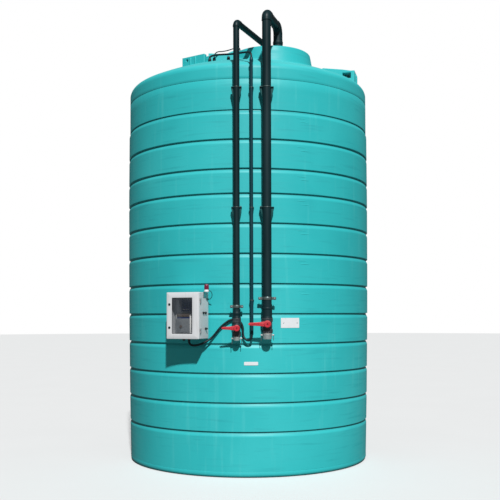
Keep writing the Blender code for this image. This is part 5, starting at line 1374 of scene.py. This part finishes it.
# What shows through the window: a zinc back plate, a dark blue display unit above, a light grey
# control unit with a brown terminal block below, and a white strip of wire trunking beside it.
def device_plastic(name, colour, speck):
    """Housing plastic of one colour: specks, a worn sheen and a fine texture."""
    material = even_material(name, colour, 0.40)
    mottle = noise_field(material, 45.0, detail=3.0)
    stain(material, mottle, 0.52, 0.75, 0.5, speck)
    vary_roughness(material, mottle, 0.32, 0.50)
    relief(material, noise_field(material, 500.0, detail=2.0), 0.10, 0.0003)
    return material


DISPLAY_BLUE = device_plastic("display_blue", (0.008, 0.020, 0.110), (0.018, 0.036, 0.150))
DEVICE_GREY = device_plastic("device_grey", (0.46, 0.47, 0.46), (0.38, 0.38, 0.37))
COVER_GREY = device_plastic("cover_grey", (0.165, 0.180, 0.190), (0.230, 0.240, 0.245))
TERMINAL_BROWN = device_plastic("terminal_brown", (0.10, 0.070, 0.050), (0.16, 0.12, 0.09))
TRUNKING_WHITE = device_plastic("trunking_white", (0.88, 0.88, 0.86), (0.78, 0.78, 0.75))
SCREEN_GLASS = device_plastic("screen_glass", (0.012, 0.034, 0.095), (0.024, 0.060, 0.130))


def device(name, wide, tall, low, high, centre, material, corner, edge, slot, *nodes):
    """A block inside the box, fixed to its back: the values are those of box_block."""
    fit(box_block(name, wide, tall, low, high, centre, material, corner, edge), "tank", slot, *nodes)


DISPLAY_RIGHT = -0.047
SCREEN_UP = 0.120
UNIT_RIGHT = -0.073
device("mounting_plate", 0.160, 0.212, 0.0181, 0.0183, (0.0, 0.0), ZINC_STEEL, 0.004, 0.0, "zinc_steel")
device(
    "display_unit", 0.050, 0.062, 0.0184, 0.0710, (DISPLAY_RIGHT, 0.105), DISPLAY_BLUE, 0.005, 0.003,
    "display_blue", "display_module",
)
bezel_rings = rounded_rings([
    (0.044, 0.040, 0.004, 0.0705), (0.044, 0.040, 0.004, 0.0730), (0.041, 0.037, 0.003, 0.0733),
    (0.038, 0.034, 0.002, 0.0722), (0.038, 0.034, 0.002, 0.0705),
]) + np.array([DISPLAY_RIGHT, SCREEN_UP, 0.0])
bezel = surface("display_bezel", at_box(bezel_rings), DISPLAY_BLUE, wrap_rows=True, sharp=30.0)
fit(bezel, "tank", "display_blue")
device(
    "display_screen", 0.0378, 0.0338, 0.0706, 0.0718, (DISPLAY_RIGHT, SCREEN_UP), SCREEN_GLASS, 0.002, 0.0002,
    "display_blue",
)
for number, shift in enumerate((-0.030, -0.010, 0.010, 0.030)):
    device(
        f"display_key_{number + 1}", 0.0065, 0.0050, 0.0706, 0.0726, (DISPLAY_RIGHT + shift, 0.062),
        DEVICE_GREY, 0.002, 0.0008, "device_grey",
    )
device(
    "control_housing", 0.092, 0.100, 0.0184, 0.0760, (UNIT_RIGHT, -0.078), DEVICE_GREY, 0.008, 0.004,
    "device_grey", "control_unit",
)
device(
    "control_cover", 0.084, 0.070, 0.0755, 0.0925, (UNIT_RIGHT, -0.100), COVER_GREY, 0.010, 0.006,
    "device_grey",
)
device(
    "control_recess", 0.076, 0.012, 0.0755, 0.0785, (UNIT_RIGHT, -0.024), DISPLAY_BLUE, 0.003, 0.001,
    "display_blue",
)
TERMINALS = 12
TERMINAL_START = -0.139
TERMINAL_STEP = 0.0120
for number in range(TERMINALS):
    right = TERMINAL_START + TERMINAL_STEP * number
    device(
        f"terminal_{number + 1}", 0.0052, 0.0150, 0.0700, 0.0865, (right, 0.004),
        TERMINAL_BROWN, 0.001, 0.001, "device_grey",
    )
    seat, head = box_point(right, 0.009, 0.0860), box_point(right, 0.009, 0.0872)
    screw = bar(f"terminal_screw_{number + 1}", seat, head, 0.0027, ZINC_STEEL, columns=12)
    fit(screw, "tank", "zinc_steel")
knob_profile = [(0.0, 0.0920), (0.015, 0.0920), (0.0145, 0.1000), (0.0135, 0.1010), (0.0, 0.1010)]
knob_points = revolved(knob_profile, columns=32) + np.array([-0.092, -0.112, 0.0])
fit(surface("control_knob", at_box(knob_points), TERMINAL_BROWN, sharp=30.0), "tank", "device_grey")
device(
    "wire_trunking", 0.011, 0.086, 0.0184, 0.0953, (0.0217, -0.093), TRUNKING_WHITE, 0.001, 0.0008,
    "plate_white",
)


# The beacon: a folded zinc bracket on the box's upper right edge, a white plastic base and a red
# fluted lens.
def plate_white():
    """White plastic: yellowed clouds, rain grime and a soft gloss."""
    material = even_material("plate_white", (0.60, 0.62, 0.64), 0.40, specular=0.4)
    clouds = noise_field(material, 18.0, detail=3.0)
    stain(material, clouds, 0.48, 0.75, 0.5, (0.54, 0.545, 0.54))
    grime = noise_field(material, 55.0, (2.0, 2.0, 0.4), 4.0)
    stain(material, grime, 0.60, 0.80, 0.4, (0.36, 0.35, 0.33))
    vary_roughness(material, clouds, 0.28, 0.48)
    relief(material, noise_field(material, 400.0, detail=2.0), 0.08, 0.0003)
    return material


def lens_red():
    """Red acrylic: deep colour with a paler bloom and a glossy skin."""
    material = even_material("lens_red", (0.130, 0.010, 0.034), 0.16)
    bloom = noise_field(material, 70.0, detail=3.0)
    stain(material, bloom, 0.5, 0.78, 0.5, (0.20, 0.024, 0.045))
    vary_roughness(material, bloom, 0.12, 0.28)
    relief(material, noise_field(material, 260.0, detail=2.0), 0.06, 0.0003)
    return material


PLATE_WHITE = plate_white()
BEACON_RIGHT = 0.2088
BEACON_OUT = 0.109
plate = on_side(rounded_rings(block_rows(0.0248, 0.0298, 0.1828, 0.1858, 0.004, 0.0006)), 0.208, BEACON_OUT)
bracket = surface("beacon_bracket_plate", plate, ZINC_STEEL, sharp=30.0)
fit(bracket, "tank", "zinc_steel", "beacon_bracket")
ledge = rounded_rings(block_rows(0.0258, 0.0258, 0.2350, 0.2380, 0.004, 0.0006))
ledge = np.stack([ledge[..., 0] + BEACON_RIGHT, ledge[..., 2], ledge[..., 1] + BEACON_OUT], -1)
fit(surface("beacon_bracket_ledge", at_box(ledge), ZINC_STEEL, sharp=30.0), "tank", "zinc_steel")


def beacon_ring(radius, level, ribs=0, depth=0.0, columns=72):
    """Rings about the beacon's axis; the radius drops by depth between ribs as a raised cosine."""
    angle = full_turn(columns)
    radius, level = np.asarray(radius, float)[:, None], np.asarray(level, float)[:, None]
    size = radius - depth * np.clip(radius / 0.012, 0.0, 1.0) * (0.5 - 0.5 * np.cos(ribs * angle))
    size = np.where(radius > 0.0, size, 0.0)
    right, out = BEACON_RIGHT + size * np.cos(angle), BEACON_OUT + size * np.sin(angle)
    return at_box(np.stack([right, level + 0.0 * angle, out], -1))


base = surface("beacon_foot", beacon_ring(
    [0.0, 0.0235, 0.0245, 0.0245, 0.0237, 0.0230, 0.0230, 0.0220, 0.0],
    [0.2383, 0.2383, 0.2393, 0.2500, 0.2512, 0.2520, 0.2590, 0.2600, 0.2603],
), PLATE_WHITE, sharp=35.0)
fit(base, "tank", "plate_white", "beacon_base")
LENS_FOOT = 0.2606
LENS_HEIGHT = 0.056
lens_shares = np.array([0.0, 0.0, 0.02, 0.30, 0.62, 0.72, 0.82, 0.90, 0.96, 0.99, 1.0])
lens_levels = LENS_FOOT + LENS_HEIGHT * lens_shares
lens_radii = [0.0, 0.0235, 0.0240, 0.0238, 0.0235, 0.0229, 0.0213, 0.0188, 0.0148, 0.0085, 0.0]
lens_rings = beacon_ring(lens_radii, lens_levels, ribs=18, depth=0.0009, columns=144)
lens = surface("beacon_fluted_lens", lens_rings, lens_red(), sharp=60.0)
fit(lens, "tank", "lens_red", "beacon_lens")


# The sockets and cable glands: two round sockets and two glands on the box's right side, two glands
# under it, three on the dome, one of them spare, and one on the platform. All are black plastic.
SOCKET_UP = 0.027
SOCKET_PROFILE = (
    (0.0, 0.1820), (0.0125, 0.1820), (0.0125, 0.1850), (0.0121, 0.1865), (0.0116, 0.1930), (0.0110, 0.1948),
    (0.0096, 0.1948), (0.0090, 0.1940), (0.0088, 0.1905), (0.0, 0.1905),
)
for number, out in enumerate((0.134, 0.086)):
    points = on_side(revolved(SOCKET_PROFILE, columns=36), SOCKET_UP, out)
    fit(surface(f"side_socket_{number + 1}", points, CLIP_PLASTIC, sharp=30.0), "tank", "clip_plastic")


def cable_gland(name, seat, along, across, nut_length, dome_length, dome_low, dome_top, node=None):
    """A hexagon nut with a dome on it that narrows to the cable. Between its ten ribs the dome's
    radius drops by 0.7 mm, after a raised cosine."""
    along = np.asarray(along, float)
    nut = hex_bolt(f"{name}_nut", seat, along, across, nut_length, CLIP_PLASTIC)
    fit(nut, "tank", "clip_plastic", *([node] if node else []))
    side, over = square_to(along)
    share = np.array([0.0, 0.0, 0.10, 0.55, 0.80, 0.93, 1.0, 1.0])
    size = dome_low + (dome_top - dome_low) * np.array([0.0, 0.0, 0.0, 0.15, 0.45, 0.80, 1.0, 1.0])
    angle = full_turn(80)
    ribbed = np.array([0.0, 0.0, 1.0, 1.0, 0.7, 0.2, 0.0, 0.0])[:, None]
    radii = size[:, None] - 0.0007 * ribbed * (0.5 - 0.5 * np.cos(10.0 * angle))
    radii[[0, -1]] = 0.0
    levels = nut_length * 0.9 + share[:, None] * (dome_length - nut_length * 0.9)
    ring = np.cos(angle)[..., None] * side + np.sin(angle)[..., None] * over
    points = np.asarray(seat, float) + along * levels[..., None] + radii[..., None] * ring
    dome = surface(f"{name}_dome", points, CLIP_PLASTIC, sharp=45.0)
    fit(dome, "tank", "clip_plastic")


seat = box_point(BOX_SIDE, -0.132, 0.086)
cable_gland("side_gland", seat, BOX_RIGHT, 0.0110, 0.0145, 0.0268, 0.0095, 0.0070)
for number, right in enumerate((0.010, -0.050)):
    seat = box_point(right, -0.2335, 0.109)
    cable_gland(f"under_gland_{number + 1}", seat, -UP, 0.0147, 0.0125, 0.0225, 0.0140, 0.0110)
seat = box_point(BOX_SIDE, 0.165, 0.035)
fit(hex_bolt("beacon_gland", seat, BOX_RIGHT, 0.0069, 0.0107, CLIP_PLASTIC), "tank", "clip_plastic")
ROOF_GLAND = (-0.407, -0.982)
LEVEL_GLAND = (-0.360, -0.957)
SPARE_GLAND = (-0.205, -1.035)
PLATFORM_GLAND = (-0.085, -0.765)
for gland_name, (x, y) in (("roof", ROOF_GLAND), ("level", LEVEL_GLAND), ("spare", SPARE_GLAND)):
    seat = (x, y, float(dome_height(x, y)) - 0.010)
    cable_gland(f"{gland_name}_cable", seat, UP, 0.0173, 0.026, 0.0440, 0.0160, 0.0120, f"{gland_name}_gland")
seat = (*PLATFORM_GLAND, PLATFORM_TOP + 0.0003)
entry = hex_bolt("platform_cable_entry", seat, UP, 0.0121, 0.0217, CLIP_PLASTIC)
fit(entry, "tank", "clip_plastic", "platform_gland")


# The cables: black rubber. One hangs from the box in front of the wall and up into the conduit, a
# thin one joins the beacon to the box, one crosses the roof from the conduit to its gland, and
# another runs over the bridge in a low arch and goes in at the platform.
def cable_rubber():
    """Black rubber sheath with a teal tint that is painted reflection of the tank: chalky patches, dust and a
    dull skin.
    """
    material = even_material("cable_rubber", (0.004, 0.012, 0.015), 0.50, specular=0.25)
    chalk = noise_field(material, 40.0, detail=3.0)
    stain(material, chalk, 0.50, 0.75, 0.4, (0.018, 0.032, 0.036))
    vary_roughness(material, chalk, 0.42, 0.62)
    relief(material, noise_field(material, 700.0, detail=2.0), 0.12, 0.0003)
    return material


CABLE_RUBBER = cable_rubber()


def smooth_route(places, per_span):
    """A Catmull-Rom curve through the inner places, between a straight first and last stretch."""
    places = np.asarray(places, float)
    inner = places[1:-1]
    ghost = np.concatenate([[2.0 * inner[0] - inner[1]], inner, [2.0 * inner[-1] - inner[-2]]])
    before, here, after, beyond = ghost[:-3], ghost[1:-2], ghost[2:-1], ghost[3:]
    share = (np.arange(per_span) / per_span)[None, :, None]
    before, here, after, beyond = (part[:, None, :] for part in (before, here, after, beyond))
    curve = 0.5 * (
        2.0 * here + (after - before) * share
        + (2.0 * before - 5.0 * here + 4.0 * after - beyond) * share ** 2
        + (3.0 * here - before - 3.0 * after + beyond) * share ** 3
    )
    return np.concatenate([places[:1], curve.reshape(-1, 3), inner[-1:], places[-1:]])


def cable(name, node, places, diameter):
    """One cable as a round curve along its smoothed route, both ends in the object."""
    route = smooth_route(places, 8)
    line = bpy.data.curves.new(name, "CURVE")
    line.dimensions = "3D"
    spline = line.splines.new("POLY")
    spline.points.add(len(route) - 1)
    spline.points.foreach_set("co", np.concatenate([route, np.ones((len(route), 1))], axis=1).ravel())
    line.bevel_depth = diameter / 2.0
    line.bevel_resolution = 5
    line.use_fill_caps = True
    line.materials.append(CABLE_RUBBER)
    piece = bpy.data.objects.new(name, line)
    bpy.context.scene.collection.objects.link(piece)
    fit(piece, "tank", "cable_rubber", node)


under = -0.2563
control_places = [
    *at_box([
        (0.010, under, 0.109), (0.010, under - 0.008, 0.109), (0.015, under - 0.026, 0.107),
        (0.032, under - 0.041, 0.102), (0.060, under - 0.046, 0.094), (0.110, under - 0.038, 0.078),
        (0.168, under - 0.012, 0.058),
    ]),
    (-0.363, -1.371, 1.424), (-0.280, -1.388, 1.522), (-0.208, -1.400, 1.580), (-0.157, -1.4030, 1.6000),
    (-0.108, -1.4055, 1.5935), (-0.073, -1.4085, 1.562), (-0.056, -1.412, 1.514), (-0.055, -1.417, 1.462),
    (-0.045, -1.425, 1.420), (-0.011, -1.437, 1.392), (0.024, -1.447, 1.404), (CONDUIT_X, CONDUIT_Y, 1.4317),
    (CONDUIT_X, CONDUIT_Y, 1.4457),
]
cable("control_line", "control_cable", control_places, 0.022)
beacon_places = at_box([
    (0.2336, 0.250, 0.109), (0.2400, 0.250, 0.109), (0.2520, 0.243, 0.104), (0.2575, 0.228, 0.093),
    (0.2555, 0.210, 0.079), (0.2460, 0.192, 0.064), (0.2300, 0.177, 0.049), (0.2130, 0.168, 0.038),
    (0.2010, 0.165, 0.035), (0.1931, 0.165, 0.035),
])
cable("beacon_line", "beacon_cable", beacon_places, 0.006)
GLAND_MOUTH = 0.0343
roof_seat = float(dome_height(*ROOF_GLAND)) + GLAND_MOUTH
roof_places = [
    (CONDUIT_X, CONDUIT_Y, 4.2573), (CONDUIT_X, CONDUIT_Y, 4.2693), (0.0321, -1.4447, 4.291),
    (0.0242, -1.4303, 4.308), (0.0028, -1.3912, 4.3255), (-0.030, -1.3316, 4.3430), (-0.090, -1.228, 4.3690),
    (-0.176, -1.115, 4.394), (-0.268, -1.040, 4.414), (-0.336, -1.001, 4.4215), (-0.383, -0.986, 4.416),
    (*ROOF_GLAND, roof_seat + 0.012), (*ROOF_GLAND, roof_seat),
]
cable("roof_line", "roof_cable", roof_places, 0.020)
level_seat = float(dome_height(*LEVEL_GLAND)) + GLAND_MOUTH
level_places = [
    (*LEVEL_GLAND, level_seat), (*LEVEL_GLAND, level_seat + 0.010), (-0.357, -0.953, level_seat + 0.032),
    (-0.343, -0.943, level_seat + 0.057), (-0.316, -0.928, level_seat + 0.074),
    (-0.277, -0.909, level_seat + 0.083), (-0.236, -0.887, level_seat + 0.097),
    (-0.195, -0.860, level_seat + 0.117), (-0.158, -0.829, level_seat + 0.140),
    (-0.126, -0.800, 4.5723), (-0.102, -0.780, 4.5743), (-0.088, -0.7675, 4.5633),
    (*PLATFORM_GLAND, 4.5463), (*PLATFORM_GLAND, 4.5383),
]
cable("level_line", "level_cable", level_places, 0.011)


# The two blank plates on the wall: thin white sheet bent to the tank's curve. The upper one is
# held by two rivets.
PLATE_THICKNESS = 0.0025
PLATE_CORNER = 0.005
NAME_PLATE_LEVEL = 1.5635


def wall_plate(name, node, azimuth, level, wide, tall):
    """A rounded rectangle wrapped on the wall: its width runs along the arc, its level is the
    distance from the wall, and shrinking rings fill its face."""
    shares = np.array([0.0, 0.3, 0.6, 0.85, 1.0])
    low = np.stack([shares * wide, shares * tall, shares * PLATE_CORNER, 0.0 * shares + 0.0003], -1)
    high = low[::-1].copy()
    high[:, 3] = PLATE_THICKNESS
    edge = np.array([[wide, tall, PLATE_CORNER, PLATE_THICKNESS * 0.8]])
    high[0, :2] -= PLATE_THICKNESS * 0.25
    ring = rounded_rings(np.concatenate([low, edge, high]), 6)
    step = np.linspace(0.0, 1.0, 9)[:-1, None]
    ring = ring[:, :, None] + step * (np.roll(ring, -1, axis=1) - ring)[:, :, None]
    ring = ring.reshape(len(ring), -1, 3)
    rise = level + ring[..., 1]
    angle = math.radians(azimuth) + ring[..., 0] / float(wall_radius(level))
    radius = wall_radius(rise) + mould_swell(angle, rise) + ring[..., 2]
    fit(surface(name, about_axis(radius, angle, rise), PLATE_WHITE, sharp=30.0), "tank", "plate_white", node)


wall_plate("blank_name_plate", "name_plate", 17.85, NAME_PLATE_LEVEL, 0.0995, 0.051)
wall_plate("blank_lower_plate", "lower_plate", 1.1, 1.154, 0.071, 0.0175)
RIVET_PROFILE = (
    (0.0, 0.0), (0.0060, 0.0), (0.0058, 0.0016), (0.0046, 0.0032), (0.0026, 0.0041), (0.0, 0.0044),
)
for number, azimuth in enumerate((15.0, 21.0)):
    normal = turned_out(np.array([[1.0, 0.0, 0.0]]), azimuth)[0]
    seat = normal * (float(wall_radius(NAME_PLATE_LEVEL)) + 0.0018) + UP * NAME_PLATE_LEVEL
    points = set_in(revolved(RIVET_PROFILE, columns=24), seat, np.cross(UP, normal), UP, normal)
    fit(surface(f"plate_rivet_{number + 1}", points, ZINC_STEEL, sharp=60.0), "tank", "zinc_steel")
